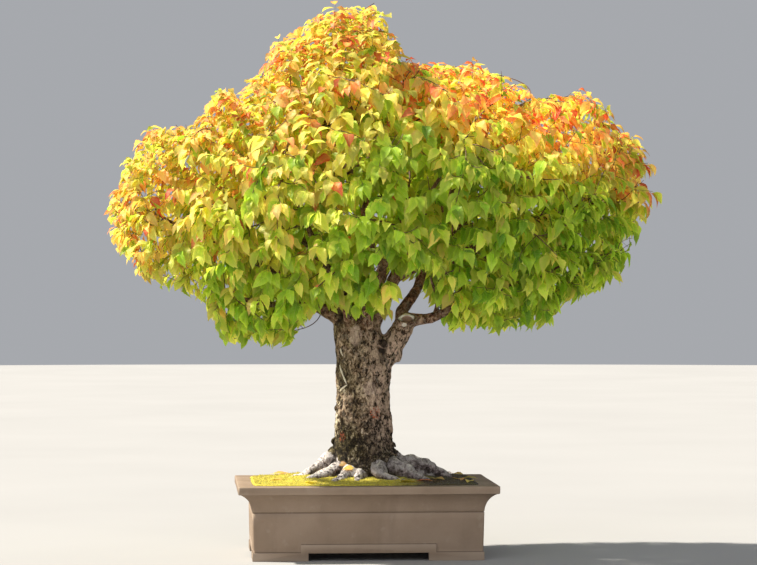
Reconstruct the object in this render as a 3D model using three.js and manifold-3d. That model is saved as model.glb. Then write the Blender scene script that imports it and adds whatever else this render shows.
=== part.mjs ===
// A zelkova bonsai about 1.2 m tall in its rectangular clay pot.
// Lengths are millimetres, +Z is up, and the tree is drawn around the pot's centre line.
// The last step moves the whole group so that the origin is the middle of its footprint on the shelf.
import * as THREE from "three";
import { mergeVertices } from "three/addons/utils/BufferGeometryUtils.js";
import Module from "manifold-3d";

const wasm = await Module();
wasm.setup();

// Driving dimensions of the pot
const LIP_LENGTH = 540;
const LIP_DEPTH = 380;
const POT_HEIGHT = 155;
const LIP_BAND = 15.5; // height of the lip's upright face
const BODY_INSET = 29.7; // how far the body stands in from the lip, at its top
const FOOT_INSET = 30; // how far the feet and the foot band stand in from the lip
const BODY_TAPER = 1.9; // extra inset of the body at its bottom
const SHOULDER_HEIGHT = 101.5; // where the cove under the lip starts
const GROOVE = 1.3; // depth and height of the line below the cove
const FLOOR_BOTTOM = 16.4;
const FLOOR_TOP = 31;
const BAND_TOP = 17.6; // top of the feet and of the low foot band
const APRON_TOP = 34.2; // top of the raised middle of the foot band
const WALL_INSET_TOP = 42; // inner edge of the lip
const WALL_INSET_FLOOR = 47;
const FOOT_THICKNESS = 24;
const FOOT_OPENING = { length: 249, depth: 150 }; // gaps between the feet, along and across the pot
const APRON = { length: 280, depth: 181 }; // raised middle of the band, along and across the pot
const DRAIN = { x: 112, radius: 16, sides: 14 };
const CORNER_CUT = 3.5; // small flat that stands for the softened corners
const BAND_SINK = 6; // how far the raised middle of the foot band runs into the wall
const COVE_STEPS = 4;

// Driving dimensions of the ground
const GAP = 0.3; // clearance between neighbouring pieces
const SOIL_EDGE = 147; // height of the soil where it meets the wall
const SOIL_RISE = 15; // how much higher the soil is at the middle
const MOSS_THICKNESS = 7;
const MOSS_OVER_LIP = 9; // how far the moss creeps over the lip
const MOSS_EDGE = 1.5; // thickness of the moss along its outer edge
const SCREEN = { side: 44, thickness: 1.6, mesh: 12, bar: 2.6 };

// Driving dimensions of the crown and its leaves
const CROWN_CENTRE = new THREE.Vector3(30, 0, 745);
const CROWN_HALF_DEPTH = 375;
// Outline of the crown seen from the front, clockwise from the far left: x, z
const CROWN_OUTLINE = [
  [-545, 718], [-507, 824], [-454, 903], [-386, 907], [-337, 924], [-314, 988], [-257, 973], [-212, 1030],
  [-187, 1089], [-125, 1115], [-98, 1149], [-40, 1153], [21, 1168], [51, 1110], [81, 1043], [193, 1043],
  [256, 1034], [314, 992], [390, 968], [464, 985], [509, 937], [579, 882], [606, 824], [606, 740],
  [570, 634], [511, 559], [415, 525], [384, 479], [288, 470], [182, 474], [129, 490], [-30, 504],
  [-89, 527], [-167, 443], [-295, 438], [-341, 538], [-454, 576], [-528, 644],
];
// Tips of the shoots that stand out of the crown: x, y, z
const SHOOTS = [
  [-98, 25, 1145], [21, -15, 1166], [-295, -30, 975], [448, 20, 972], [555, -15, 872], [574, 30, 826],
  [-515, 10, 745], [-484, -40, 812], [-420, 60, 893], [388, -60, 955], [-212, 40, 1020], [574, -50, 745],
];
// Other tips stand at the outline's corners: this far inside it, deep into the picture and away from shoots
const CORNER = { inset: 6, halfDepth: 120, clear: 45 };
const LEAF_DROP = 24; // leaves hang this far below a tip on the crown's underside
// The gap low in the crown, over the fork, that shows the bare limbs
const WINDOW = { left: 5, right: 135, top: 605 };
// The crown stays this clear of the trunk's line, below its underside
const TRUNK_ROOM = { x: 20, radius: 125, top: 600 };
const SPRAYS = 39;
const SPRAY_SHARE = 0.62; // where a spray starts, as a share of the way from the middle to the outline
const TIPS = 116; // twig tips in the whole crown
const TIP_SHARE = 0.95;
const CANDIDATES = 24; // draws for each evenly spread point
const LEAF = {
  length: 45,
  width: 25,
  rib: 2, // thickness of a blade at its rib
  ribPlace: 0.42, // where it is thickest, as a share of its length
  arch: 0.09, // how high the blade arches, as a share of its length
  smallest: 0.8,
  sizeRange: 0.36,
  step: 14, // distance between leaves along a twig
  root: 0.9, // half the length of the opening in a twig's side that a leaf grows from
  leastRise: 0.45, // how steeply a leaf leaves the side it grows from, as a sine
};
// Half of a blade's edge with its teeth: share of the length, share of the half width
const LEAF_EDGE = [[0.17, 0.6], [0.38, 1], [0.44, 0.8], [0.7, 0.64]];
const LEAVES_MADE = [0, 2, 4, 7]; // which leaves of a twig are solids, counted back from its tip
const LEAFY_SHARE = 0.75; // share of a twig's length, from its tip, that bears leaves

// The crown reaches further right than left, so the pot stands this far left of the middle
const SHIFT_TO_MIDDLE = -30;

const vector = (x, y, z) => new THREE.Vector3(x, y, z);
const UP = vector(0, 0, 1);

// A number from 0 to 1 that depends on its keys alone, so that every run draws the same tree
function draw(a, b = 0, c = 0, d = 0) {
  const wave = Math.sin(a * 12.9898 + b * 78.233 + c * 37.719 + d * 9.151 + 0.5) * 43758.5453;
  return wave - Math.floor(wave);
}

// Solids

function indexedSolid(points, indices) {
  const geometry = new THREE.BufferGeometry();
  const numbers = points.flatMap((p) => p.toArray());
  geometry.setAttribute("position", new THREE.Float32BufferAttribute(numbers, 3));
  geometry.setIndex(indices);
  return solidOf(geometry);
}

function solidOf(geometry) {
  const bare = geometry.clone();
  bare.deleteAttribute("normal");
  bare.deleteAttribute("uv");
  const merged = mergeVertices(bare, 1e-4);
  return new wasm.Manifold(
    new wasm.Mesh({
      numProp: 3,
      vertProperties: merged.attributes.position.array,
      triVerts: new Uint32Array(merged.index.array),
    }),
  );
}

function geometryOf(solid) {
  const mesh = solid.getMesh();
  const positions = new Float32Array(mesh.numVert * 3);
  for (let i = 0; i < mesh.numVert; i++) {
    positions.set(mesh.vertProperties.subarray(i * mesh.numProp, i * mesh.numProp + 3), i * 3);
  }
  const geometry = new THREE.BufferGeometry();
  geometry.setAttribute("position", new THREE.BufferAttribute(positions, 3));
  geometry.setIndex(new THREE.BufferAttribute(mesh.triVerts, 1));
  geometry.computeVertexNormals();
  return geometry;
}

const joined = (solids) => solids.reduce((sum, next) => sum.add(next));

// A closed surface through rings of equal length, with a flat cap on the first and the last
function ringsSolid(rings) {
  const sides = rings[0].length;
  const faces = [];
  for (let r = 0; r + 1 < rings.length; r++) {
    for (let s = 0; s < sides; s++) {
      const [a, b] = [r * sides + s, r * sides + ((s + 1) % sides)];
      faces.push(a, b, b + sides, a, b + sides, a + sides);
    }
  }
  const last = (rings.length - 1) * sides;
  for (let s = 1; s + 1 < sides; s++) {
    faces.push(0, s + 1, s);
    faces.push(last, last + s, last + s + 1);
  }
  return indexedSolid(rings.flat(), faces);
}

function boxSolid(low, high) {
  const size = high.clone().sub(low);
  const geometry = new THREE.BoxGeometry(size.x, size.y, size.z);
  geometry.translate(...low.clone().add(high).multiplyScalar(0.5).toArray());
  return solidOf(geometry);
}

// Rings of points around a rod, whose points each have a radius
// The first corner of the first ring lies towards across
function rodRings(rod, sides, across = vector(0.31, 0.87, 0.38), extra = 0) {
  let corner = across;
  return rod.map(({ at, radius }, i) => {
    const before = rod[Math.max(i - 1, 0)].at;
    const after = rod[Math.min(i + 1, rod.length - 1)].at;
    const tangent = after.clone().sub(before).normalize();
    corner = corner.clone().addScaledVector(tangent, -corner.dot(tangent)).normalize();
    const other = new THREE.Vector3().crossVectors(tangent, corner);
    const beyond = i === 0 ? -extra : i === rod.length - 1 ? extra : 0;
    return Array.from({ length: sides }, (_, s) => {
      const angle = (2 * Math.PI * s) / sides;
      return at
        .clone()
        .addScaledVector(tangent, beyond)
        .addScaledVector(corner, (radius + extra) * Math.cos(angle))
        .addScaledVector(other, (radius + extra) * Math.sin(angle));
    });
  });
}

const rodSolid = (rod, sides, extra) => ringsSolid(rodRings(rod, sides, undefined, extra));

// The quadratic curve from a to c that leaves a towards b
function bend(a, b, c, share) {
  const left = a.clone().lerp(b, share);
  return left.lerp(b.clone().lerp(c, share), share);
}

function bendRod(a, b, c, startRadius, endRadius, steps) {
  return Array.from({ length: steps + 1 }, (_, i) => ({
    at: bend(a, b, c, i / steps),
    radius: THREE.MathUtils.lerp(startRadius, endRadius, i / steps),
  }));
}

// Pot

// The rectangle with cut corners that stands a given inset in from the lip
function potRing(inset, z, c) {
  const [x, y] = [LIP_LENGTH / 2 - inset, LIP_DEPTH / 2 - inset];
  return [
    [x, -y + c], [x, y - c], [x - c, y], [-x + c, y], [-x, y - c], [-x, -y + c], [-x + c, -y], [x - c, -y],
  ].map(([px, py]) => vector(px, py, z));
}

function potWall() {
  const bodyInset = (z) => BODY_INSET + BODY_TAPER * (1 - z / SHOULDER_HEIGHT);
  const coveFrom = vector(BODY_INSET, 0, SHOULDER_HEIGHT);
  const coveTowards = vector(BODY_INSET - 2.4, 0, SHOULDER_HEIGHT + 26.5);
  const coveTo = vector(5, 0, POT_HEIGHT - LIP_BAND - 1);
  const cove = Array.from({ length: COVE_STEPS + 1 }, (_, i) => {
    const at = bend(coveFrom, coveTowards, coveTo, i / COVE_STEPS);
    return [at.x, at.z];
  });
  const outside = [
    [bodyInset(FLOOR_BOTTOM), FLOOR_BOTTOM],
    [BODY_INSET, SHOULDER_HEIGHT - 2 * GROOVE],
    [BODY_INSET + GROOVE, SHOULDER_HEIGHT - GROOVE],
    ...cove,
    [0.9, POT_HEIGHT - LIP_BAND],
    [0, POT_HEIGHT - 1.2],
    [1, POT_HEIGHT],
  ];
  const inside = [
    [WALL_INSET_TOP, POT_HEIGHT],
    [WALL_INSET_FLOOR, FLOOR_TOP],
  ];
  return ringsSolid([
    ...outside.map(([inset, z]) => potRing(inset, z, CORNER_CUT)),
    ...inside.map(([inset, z]) => potRing(inset, z, GAP)),
  ]);
}

function potFeet() {
  const [x, y] = [LIP_LENGTH / 2 - FOOT_INSET, LIP_DEPTH / 2 - FOOT_INSET];
  const feet = [-1, 1].flatMap((sx) =>
    [-1, 1].flatMap((sy) => {
      const arm = (fromX, fromY) => {
        const [x0, x1] = [sx * fromX, sx * x].sort((a, b) => a - b);
        const [y0, y1] = [sy * fromY, sy * y].sort((a, b) => a - b);
        return boxSolid(vector(x0, y0, 0), vector(x1, y1, BAND_TOP));
      };
      const lengthwise = arm(FOOT_OPENING.length / 2, y - FOOT_THICKNESS);
      const crosswise = arm(x - FOOT_THICKNESS, FOOT_OPENING.depth / 2);
      return [lengthwise, crosswise];
    }),
  );
  const [halfLength, halfDepth] = [APRON.length / 2, APRON.depth / 2];
  const aprons = [-1, 1].flatMap((side) => {
    const [y0, y1] = [side * y, side * (y - BAND_SINK)].sort((a, b) => a - b);
    const [x0, x1] = [side * x, side * (x - BAND_SINK)].sort((a, b) => a - b);
    return [
      boxSolid(vector(-halfLength, y0, FLOOR_BOTTOM), vector(halfLength, y1, APRON_TOP)),
      boxSolid(vector(x0, -halfDepth, FLOOR_BOTTOM), vector(x1, halfDepth, APRON_TOP)),
    ];
  });
  return joined([...feet, ...aprons]);
}

function drainHole(x, radius, sides) {
  const geometry = new THREE.CylinderGeometry(radius, radius, FLOOR_TOP * 2, sides);
  geometry.rotateX(Math.PI / 2);
  geometry.translate(x, 0, FLOOR_TOP / 2);
  return solidOf(geometry);
}

function potSolid() {
  const holes = [-DRAIN.x, DRAIN.x].map((x) => drainHole(x, DRAIN.radius, DRAIN.sides));
  return holes.reduce((pot, hole) => pot.subtract(hole), potWall().add(potFeet()));
}

// A square plastic screen with a grid of openings, lying on the pot's floor over one drain hole
function screenSolid(x) {
  const half = SCREEN.side / 2;
  const [low, high] = [FLOOR_TOP + GAP, FLOOR_TOP + GAP + SCREEN.thickness];
  const sheet = boxSolid(vector(x - half, -half, low), vector(x + half, half, high));
  const cells = [-1, 0, 1];
  const open = (SCREEN.mesh - SCREEN.bar) / 2;
  const openings = cells.flatMap((row) =>
    cells.map((column) => {
      const [cx, cy] = [x + column * SCREEN.mesh, row * SCREEN.mesh];
      return boxSolid(vector(cx - open, cy - open, low - 1), vector(cx + open, cy + open, high + 1));
    }),
  );
  return openings.reduce((screen, opening) => screen.subtract(opening), sheet);
}

// Wood

// Sections of the trunk from under the soil to the fork: height, x of the middle, half width, half depth
const TRUNK = [
  [136, -3, 78, 68], [184, -3, 73, 65], [212, -3, 65, 60], [241, -3, 61, 57],
  [295, -3, 57, 54], [349, -3, 56, 53], [390, 0, 58, 53], [430, -6, 55, 51],
  [470, -14, 50, 47], [500, -16, 44, 42], [524, -17, 28, 28],
];
const TRUNK_SIDES = 13;
// How deep the hollows between the roots are, as a share of the trunk's half width, fading with height
const FLUTE = { depth: 0.07, least: 0.12, from: 150, over: 200 };

// Surface roots: x, y, z and radius of each point, from inside the trunk to where the root dives
const ROOTS = [
  [[-40, -4, 210, 30], [-70, -8, 198, 23], [-100, -14, 180, 15], [-130, -24, 168, 11], [-162, -34, 160, 6]],
  [[-36, -26, 192, 24], [-64, -46, 179, 16], [-92, -62, 171, 12], [-126, -74, 161, 6]],
  [[-22, -40, 186, 24], [-36, -68, 175, 17], [-52, -96, 167, 11], [-70, -112, 160, 6]],
  [[-6, -42, 186, 20], [-12, -72, 172, 14], [-24, -114, 159, 6]],
  [[16, -40, 194, 24], [27, -70, 184, 19], [32, -94, 171, 13], [60, -108, 164, 8], [88, -114, 158, 5]],
  [[34, -26, 198, 26], [62, -44, 186, 21], [90, -60, 175, 16], [134, -84, 159, 6]],
  [[40, -4, 208, 26], [72, -6, 196, 20], [104, -8, 193, 16], [134, -8, 187, 13], [158, -4, 174, 10],
   [186, 2, 159, 6]],
  [[32, 26, 196, 24], [58, 48, 182, 16], [112, 84, 159, 7]],
  [[2, 38, 190, 22], [8, 68, 176, 15], [20, 114, 159, 6]],
  [[-32, 26, 194, 24], [-58, 50, 180, 16], [-110, 84, 159, 7]],
];
const ROOT_SIDES = 5;

// Limbs: x, y, z and radius of each point. A limb starts inside the trunk or on an earlier limb.
const LIMBS = {
  apexLeader: [
    [-20, 0, 480, 30], [-42, -7, 524, 21], [-47, -10, 560, 17.5], [-22, -5, 598, 15.5], [4, 0, 622, 14.5],
    [11, 5, 655, 13.5], [7, 6, 700, 12], [0, 8, 760, 10.5], [-19, 5, 860, 8], [-42, 0, 985, 3.6],
  ],
  upperLeft: [
    [-44, -10, 572, 14], [-83, -20, 619, 12], [-136, -30, 676, 10], [-210, -35, 760, 7.5],
    [-285, -28, 850, 3.6],
  ],
  rightLeader: [
    [5, 0, 475, 28], [27, -5, 508, 18], [40, -8, 538, 14.5], [64, -5, 583, 13], [78, 0, 618, 12.5],
    [92, 6, 636, 11.5], [144, 20, 689, 10], [185, 25, 755, 8.5], [255, 18, 885, 3.6],
  ],
  rightSide: [
    [62, -5, 579, 9], [100, -15, 600, 8.5], [150, -25, 617, 7.6], [260, -40, 662, 6],
    [385, -46, 712, 3.6],
  ],
  rightLow: [
    [15, 0, 382, 30], [42, -4, 418, 27], [66, -8, 454, 25], [86, -10, 486, 22], [102, -14, 495, 15],
    [140, -22, 500, 10.8], [193, -30, 523, 8.8], [285, -36, 556, 7], [400, -32, 602, 3.6],
  ],
  rightInner: [
    [84, -10, 484, 16], [80, -2, 512, 13], [114, 26, 559, 11.2], [142, 70, 622, 9.5], [200, 122, 684, 7],
    [285, 160, 752, 3.6],
  ],
  leftMain: [
    [-25, -5, 466, 26], [-54, -11, 499, 17], [-83, -18, 516, 13.5], [-114, -22, 534, 12],
    [-161, -30, 580, 10], [-231, -40, 619, 8.5], [-310, -45, 655, 6.5], [-405, -42, 700, 3.6],
  ],
  leftLow: [[-112, -22, 533, 9], [-156, -58, 532, 8], [-205, -84, 530, 6], [-275, -95, 545, 3.6]],
  backLeft: [
    [-18, 18, 470, 26], [-34, 50, 522, 15], [-70, 104, 585, 11.5], [-130, 165, 650, 8.5],
    [-215, 215, 742, 3.6],
  ],
  backRight: [
    [0, 20, 462, 24], [18, 56, 526, 14], [48, 112, 590, 10.5], [78, 170, 662, 8],
    [112, 226, 778, 3.6],
  ],
  frontLeft: [
    [-22, -20, 462, 22], [-38, -56, 525, 12], [-70, -108, 584, 9.5], [-108, -165, 650, 7],
    [-152, -222, 738, 3.6],
  ],
  frontRight: [
    [0, -20, 470, 20], [12, -54, 545, 11.5], [48, -110, 640, 9], [92, -165, 700, 7],
    [142, -222, 792, 3.6],
  ],
};
// The stub of a limb that was sawn off at the right elbow, with the swollen bark round its wound
const STUB = [[80, -6, 478, 17], [92, -18, 498, 15.5], [96, -23, 506, 11]];
const LIMB_SIDES = 5;

// A branch runs on a little in its limb's direction before it turns up and out
const BRANCH = { sides: 4, end: 3.2, share: 0.8, taper: 0.022, lead: 0.35, lift: 0.08, long: 150, turn: 0.6 };
const FORKS = { onLimbs: 0.35, onBranches: 0.3 }; // how far along its length a piece of wood may first fork
const TWIG = { start: 2.6, side: 1.6, end: 1.1, collar: 3, lead: 0.4, lift: 0.05, turn: 0.4 };
const SIDE_TWIG_FROM = { first: 0.4, range: 0.35 }; // how far back along the main twig the others leave it

const rodOf = (list) => list.map(([x, y, z, radius]) => ({ at: vector(x, y, z), radius }));
const limbRods = Object.values(LIMBS).map(rodOf);
const rootRods = ROOTS.map(rodOf);

// The trunk swells towards its roots and is hollowed between them, less and less with height
function trunkSolid(extra) {
  const rings = TRUNK.map(([z, x, halfWidth, halfDepth], i) => {
    const flute = FLUTE.depth * THREE.MathUtils.clamp(1 - (z - FLUTE.from) / FLUTE.over, FLUTE.least, 1);
    return Array.from({ length: TRUNK_SIDES }, (_, s) => {
      const angle = (2 * Math.PI * s) / TRUNK_SIDES;
      const swell = 1 + flute * (Math.sin(5 * angle + z / 160) + 0.5 * Math.sin(3 * angle + 1.3));
      const across = (halfWidth * swell + extra) * Math.cos(angle);
      const deep = (halfDepth * swell + extra) * Math.sin(angle);
      return vector(x + across, deep, i ? z : z - extra);
    });
  });
  return ringsSolid(rings);
}

function rootMass(extra) {
  return joined([trunkSolid(extra), ...rootRods.map((rod) => rodSolid(rod, ROOT_SIDES, extra))]);
}

// Crown

// Distance from the crown's centre to its outline, at an angle in the front view
function outlineRadius(angle) {
  const [dx, dz] = [Math.cos(angle), Math.sin(angle)];
  let found = 0;
  CROWN_OUTLINE.forEach(([x0, z0], i) => {
    const [x1, z1] = CROWN_OUTLINE[(i + 1) % CROWN_OUTLINE.length];
    const [ax, az] = [x0 - CROWN_CENTRE.x, z0 - CROWN_CENTRE.z];
    const [ex, ez] = [x1 - x0, z1 - z0];
    const cross = dx * ez - dz * ex;
    if (Math.abs(cross) < 1e-9) return;
    const distance = (ax * ez - az * ex) / cross;
    const along = (ax * dz - az * dx) / cross;
    if (distance > 0 && along >= 0 && along <= 1) found = Math.max(found, distance);
  });
  return found;
}

// The point a share of the way from the crown's centre to its surface in a direction
function crownPoint(direction, share) {
  const flat = Math.hypot(direction.x, direction.z);
  const front = outlineRadius(Math.atan2(direction.z, direction.x));
  const radius = 1 / Math.hypot(flat / front, direction.y / CROWN_HALF_DEPTH);
  return CROWN_CENTRE.clone().addScaledVector(direction, radius * share);
}

const inWindow = (p) => p.x > WINDOW.left && p.x < WINDOW.right && p.z < WINDOW.top;
const nearTrunk = (p) => Math.hypot(p.x - TRUNK_ROOM.x, p.y) < TRUNK_ROOM.radius && p.z < TRUNK_ROOM.top;

// Twig tips at the corners of the outline, so that its bumps are there in the round
function cornerTips() {
  const tips = CROWN_OUTLINE.map(([x, z], i) => {
    const corner = vector(x, CORNER.halfDepth * (2 * draw(26, i) - 1), z);
    const out = vector(x, 0, z).sub(CROWN_CENTRE).normalize();
    return corner.addScaledVector(out, -CORNER.inset - LEAF_DROP * Math.max(0, -out.z));
  });
  const awayFrom = (p) => ([x, , z]) => Math.hypot(p.x - x, p.z - z) > CORNER.clear;
  return tips.filter((p) => !nearTrunk(p) && !inWindow(p) && SHOOTS.every(awayFrom(p)));
}

// Points spread evenly over the crown at a share of its radius
// Each is the candidate that lies furthest from all before it
function spread(count, share, key, given) {
  const points = [...given];
  for (let i = given.length; i < count; i++) {
    let best = null;
    let bestDistance = -1;
    for (let k = 0; k < CANDIDATES; k++) {
      const z = 2 * draw(key, i, k, 1) - 1;
      const angle = 2 * Math.PI * draw(key, i, k, 2);
      const flat = Math.sqrt(1 - z * z);
      const point = crownPoint(vector(flat * Math.cos(angle), flat * Math.sin(angle), z), share);
      if (nearTrunk(point) || inWindow(point)) continue;
      const distance = Math.min(...points.map((other) => other.distanceTo(point)), 1e6);
      if (distance > bestDistance) [best, bestDistance] = [point, distance];
    }
    if (best) points.push(best);
  }
  return points;
}

const fromRod = (rod, back) => rod[rod.length - 1 - back].at;
const endDirection = (rod) => fromRod(rod, 0).clone().sub(fromRod(rod, 1)).normalize();
const rodLength = (rod) => rod.slice(1).reduce((sum, p, i) => sum + p.at.distanceTo(rod[i].at), 0);

// The places where a branch may leave a rod, with the rod's direction and thickness there
function forkPlaces(rod, from) {
  const total = rodLength(rod);
  const places = [];
  let passed = 0;
  for (let i = 1; i < rod.length; i++) {
    const [a, b] = [rod[i - 1], rod[i]];
    const length = a.at.distanceTo(b.at);
    for (const share of [0, 0.5]) {
      if ((passed + share * length) / total < from) continue;
      places.push({
        at: a.at.clone().lerp(b.at, share),
        direction: b.at.clone().sub(a.at).normalize(),
        radius: THREE.MathUtils.lerp(a.radius, b.radius, share),
      });
    }
    passed += length;
  }
  return places;
}

// Shares the twig tips out among the starts of the sprays, each to the one that lies best behind it
function shareTips(starts, tips) {
  const sprays = starts.map((start) => ({ start, tips: [] }));
  tips.forEach((at, index) => {
    const cost = ({ start }) => {
      const way = at.clone().sub(start);
      const out = start.clone().sub(CROWN_CENTRE).normalize();
      return way.length() * (1 + TWIG.turn * (1 - out.dot(way.normalize())));
    };
    sprays.reduce((best, next) => (cost(next) < cost(best) ? next : best)).tips.push({ at, index });
  });
  return sprays.filter((spray) => spray.tips.length);
}

// A spray at the end of a limb runs on from it
// Each other one gets a branch from the best place on the wood so far, nearest first
function growBranches(sprays) {
  const places = limbRods.flatMap((rod) => forkPlaces(rod, FORKS.onLimbs));
  for (const rod of limbRods) {
    const spray = sprays.find(({ start }) => start === fromRod(rod, 0));
    if (spray) spray.ahead = endDirection(rod);
  }
  const nearest = ({ start }) => Math.min(...places.map((place) => place.at.distanceTo(start)));
  const others = sprays.filter(({ ahead }) => !ahead);
  for (const spray of others.sort((a, b) => nearest(a) - nearest(b))) {
    const cost = ({ at, direction }) => {
      const way = spray.start.clone().sub(at);
      return way.length() * (1 + BRANCH.turn * (1 - direction.dot(way.normalize())));
    };
    const { at, direction, radius } = places.reduce((best, next) => (cost(next) < cost(best) ? next : best));
    const length = at.distanceTo(spray.start);
    const towards = at
      .clone()
      .addScaledVector(direction, BRANCH.lead * length)
      .addScaledVector(UP, BRANCH.lift * length);
    const startRadius = Math.min(BRANCH.share * radius, BRANCH.end + BRANCH.taper * length);
    spray.branch = bendRod(at, towards, spray.start, startRadius, BRANCH.end, length > BRANCH.long ? 3 : 2);
    spray.ahead = endDirection(spray.branch);
    places.push(...forkPlaces(spray.branch, FORKS.onBranches));
  }
}

// How a twig or leaf that would cross another piece is bent to one side, from none at all to well over
const BENDS = [
  [0, 0], [0.25, 0], [-0.25, 0], [0, 0.25], [0, -0.25],
  [0.4, 0.3], [-0.4, 0.3], [0.4, -0.3], [-0.4, -0.3],
];

// A twig from a to its tip that leaves along ahead, bent sideways by the two shares of its length
function twigRod(a, ahead, tip, radius, steps, [aside, lift]) {
  const length = a.distanceTo(tip);
  const across = new THREE.Vector3().crossVectors(ahead, UP).normalize();
  const towards = a
    .clone()
    .addScaledVector(ahead, TWIG.lead * length)
    .addScaledVector(across, aside * length)
    .addScaledVector(UP, (lift + TWIG.lift) * length);
  return bendRod(a, towards, tip, radius, TWIG.end, steps);
}

// Which way leaf number k of a twig hangs, and its size. Leaf 0 is at the twig's tip.
function leafStance({ index }, k, at, ahead, [aside, lift]) {
  const out = at.clone().sub(CROWN_CENTRE).normalize();
  const side = (k + index) % 2 ? 1 : -1;
  const sideways = new THREE.Vector3().crossVectors(ahead, UP).normalize();
  sideways.multiplyScalar(k ? side : 0.25 * side);
  const droop = 0.55 + 0.75 * draw(11, index, k) - 2 * lift;
  const along = new THREE.Vector3()
    .addScaledVector(sideways, 0.75 + aside)
    .addScaledVector(ahead, k ? 0.45 : 0.9)
    .addScaledVector(out, 0.2)
    .addScaledVector(UP, -droop)
    .normalize();
  const facing = out
    .multiplyScalar(0.8)
    .addScaledVector(UP, 0.6)
    .add(vector(draw(12, index, k) - 0.5, draw(13, index, k) - 0.5, draw(14, index, k) - 0.5));
  const size = LEAF.smallest + LEAF.sizeRange * draw(15, index, k);
  const width = LEAF.width * size * (0.9 + 0.2 * draw(16, index, k));
  return { at, along, facing, length: LEAF.length * size, width };
}

// The points of a toothed blade, thickest at its rib, thin at its edge, arched along its length
function bladePoints({ at, along, facing, length, width }) {
  const level = facing.clone().addScaledVector(along, -facing.dot(along)).normalize();
  const across = new THREE.Vector3().crossVectors(along, level);
  const place = (x, y, z) =>
    at.clone().addScaledVector(across, x).addScaledVector(along, y).addScaledVector(level, z);
  const arch = LEAF.arch * length;
  const height = (y, x) => arch * Math.sin(Math.PI * Math.min(y * 1.1, 1)) * (1 - 0.8 * x);
  const side = (sign) => LEAF_EDGE.map(([y, x]) => place((sign * x * width) / 2, y * length, height(y, x)));
  return {
    across,
    edge: [...side(1), place(0, length, -arch), ...side(-1).reverse()],
    ribs: [1, -1].map((face) => place(0, LEAF.ribPlace * length, arch + (face * LEAF.rib) / 2)),
  };
}

// The skin of one spray, which grows from facets: the sides of its twigs and their three-cornered tips
class Skin {
  points = [];
  faces = [];
  facets = [];

  addPoints(points) {
    this.points.push(...points);
    return points.map((_, i) => this.points.length - points.length + i);
  }

  // Sides between rings of three points, from the ring that root gives
  addRod(rod, root) {
    const corner = root && this.points[root[0]].clone().sub(this.middle(root));
    const rings = rodRings(rod, 3, corner).slice(root ? 1 : 0);
    const indexed = rings.map((ring) => this.addPoints(ring));
    if (root) indexed.unshift(root);
    else this.faces.push([...indexed[0]].reverse());
    const sides = indexed.slice(1).map((ring, i) =>
      ring.map((_, s) => {
        const next = (s + 1) % 3;
        return this.addFacet([indexed[i][s], indexed[i][next], ring[next], ring[s]]);
      }),
    );
    return { sides, tip: this.addFacet(indexed[indexed.length - 1]) };
  }

  addFacet(corners) {
    const [a, b, c, d] = corners.map((i) => this.points[i]);
    const normal = new THREE.Vector3().crossVectors(c.clone().sub(a), (d ?? a).clone().sub(b)).normalize();
    const facet = { corners, normal, free: true };
    this.facets.push(facet);
    return facet;
  }

  middle(corners) {
    const sum = corners.reduce((total, i) => total.add(this.points[i]), new THREE.Vector3());
    return sum.divideScalar(corners.length);
  }

  placeOn({ corners }, u, v) {
    const [a, b, c, d] = corners.map((i) => this.points[i]);
    return a.clone().lerp(b, v).lerp(d.clone().lerp(c, v), u);
  }

  // Opens a facet a share u of the way along it, and gives the three points that a twig or leaf grows from
  open(facet, u) {
    facet.free = false;
    if (facet.corners.length === 3) return facet.corners;
    const [a, b, c, d] = facet.corners;
    const reach = LEAF.root / this.placeOn(facet, 0, 0.5).distanceTo(this.placeOn(facet, 1, 0.5));
    const at = THREE.MathUtils.clamp(u, 2 * reach, 1 - 2 * reach);
    const [p, q, r] = this.addPoints([
      this.placeOn(facet, at - reach, 0.2),
      this.placeOn(facet, at - reach, 0.8),
      this.placeOn(facet, at + reach, 0.5),
    ]);
    this.faces.push([a, b, q], [a, q, p], [b, c, r], [b, r, q], [c, d, r], [d, a, p], [d, p, r]);
    return [p, q, r];
  }

  addLeaf(root, blade) {
    const reach = (i) => this.points[i].dot(blade.across);
    const ordered = [...root].sort((i, j) => reach(i) - reach(j));
    const start = root.indexOf(ordered[0]);
    const [left, next, last] = [0, 1, 2].map((i) => root[(start + i) % 3]);
    const middleOnTop = last === ordered[2];
    const right = ordered[2];
    const edge = this.addPoints(blade.edge);
    const [top, bottom] = this.addPoints(blade.ribs);
    const over = [right, ...edge, left, ...(middleOnTop ? [next] : [])];
    const under = [right, ...edge, left, ...(middleOnTop ? [] : [last])];
    over.forEach((i, n) => this.faces.push([top, i, over[(n + 1) % over.length]]));
    under.forEach((i, n) => this.faces.push([bottom, under[(n + 1) % under.length], i]));
  }

  solid() {
    for (const { corners, free } of this.facets) {
      if (!free) continue;
      const [a, b, c, d] = corners;
      this.faces.push([a, b, c]);
      if (d !== undefined) this.faces.push([a, c, d]);
    }
    return indexedSolid(this.points, this.faces.flat());
  }
}

const boxOf = (solid) => {
  const { min, max } = solid.boundingBox();
  return new THREE.Box3(vector(...min), vector(...max));
};

// A list of solids that later pieces have to stay clear of
class Taken {
  entries = [];
  add(solid, owner) {
    this.entries.push({ solid, owner, box: boxOf(solid) });
  }
  hits(solid, ignored = () => false) {
    const box = boxOf(solid);
    return this.entries.some(
      (other) => !ignored(other) && box.intersectsBox(other.box) && !solid.intersect(other.solid).isEmpty(),
    );
  }
}

// The first shape of several whose solid is clear of what stands there already
function firstClear(shapes, solidFor, taken, ignored) {
  for (const draft of shapes) {
    const shape = draft();
    const solid = shape && solidFor(shape);
    if (solid && !taken.hits(solid, ignored)) return { shape, solid };
  }
  return null;
}

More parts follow.
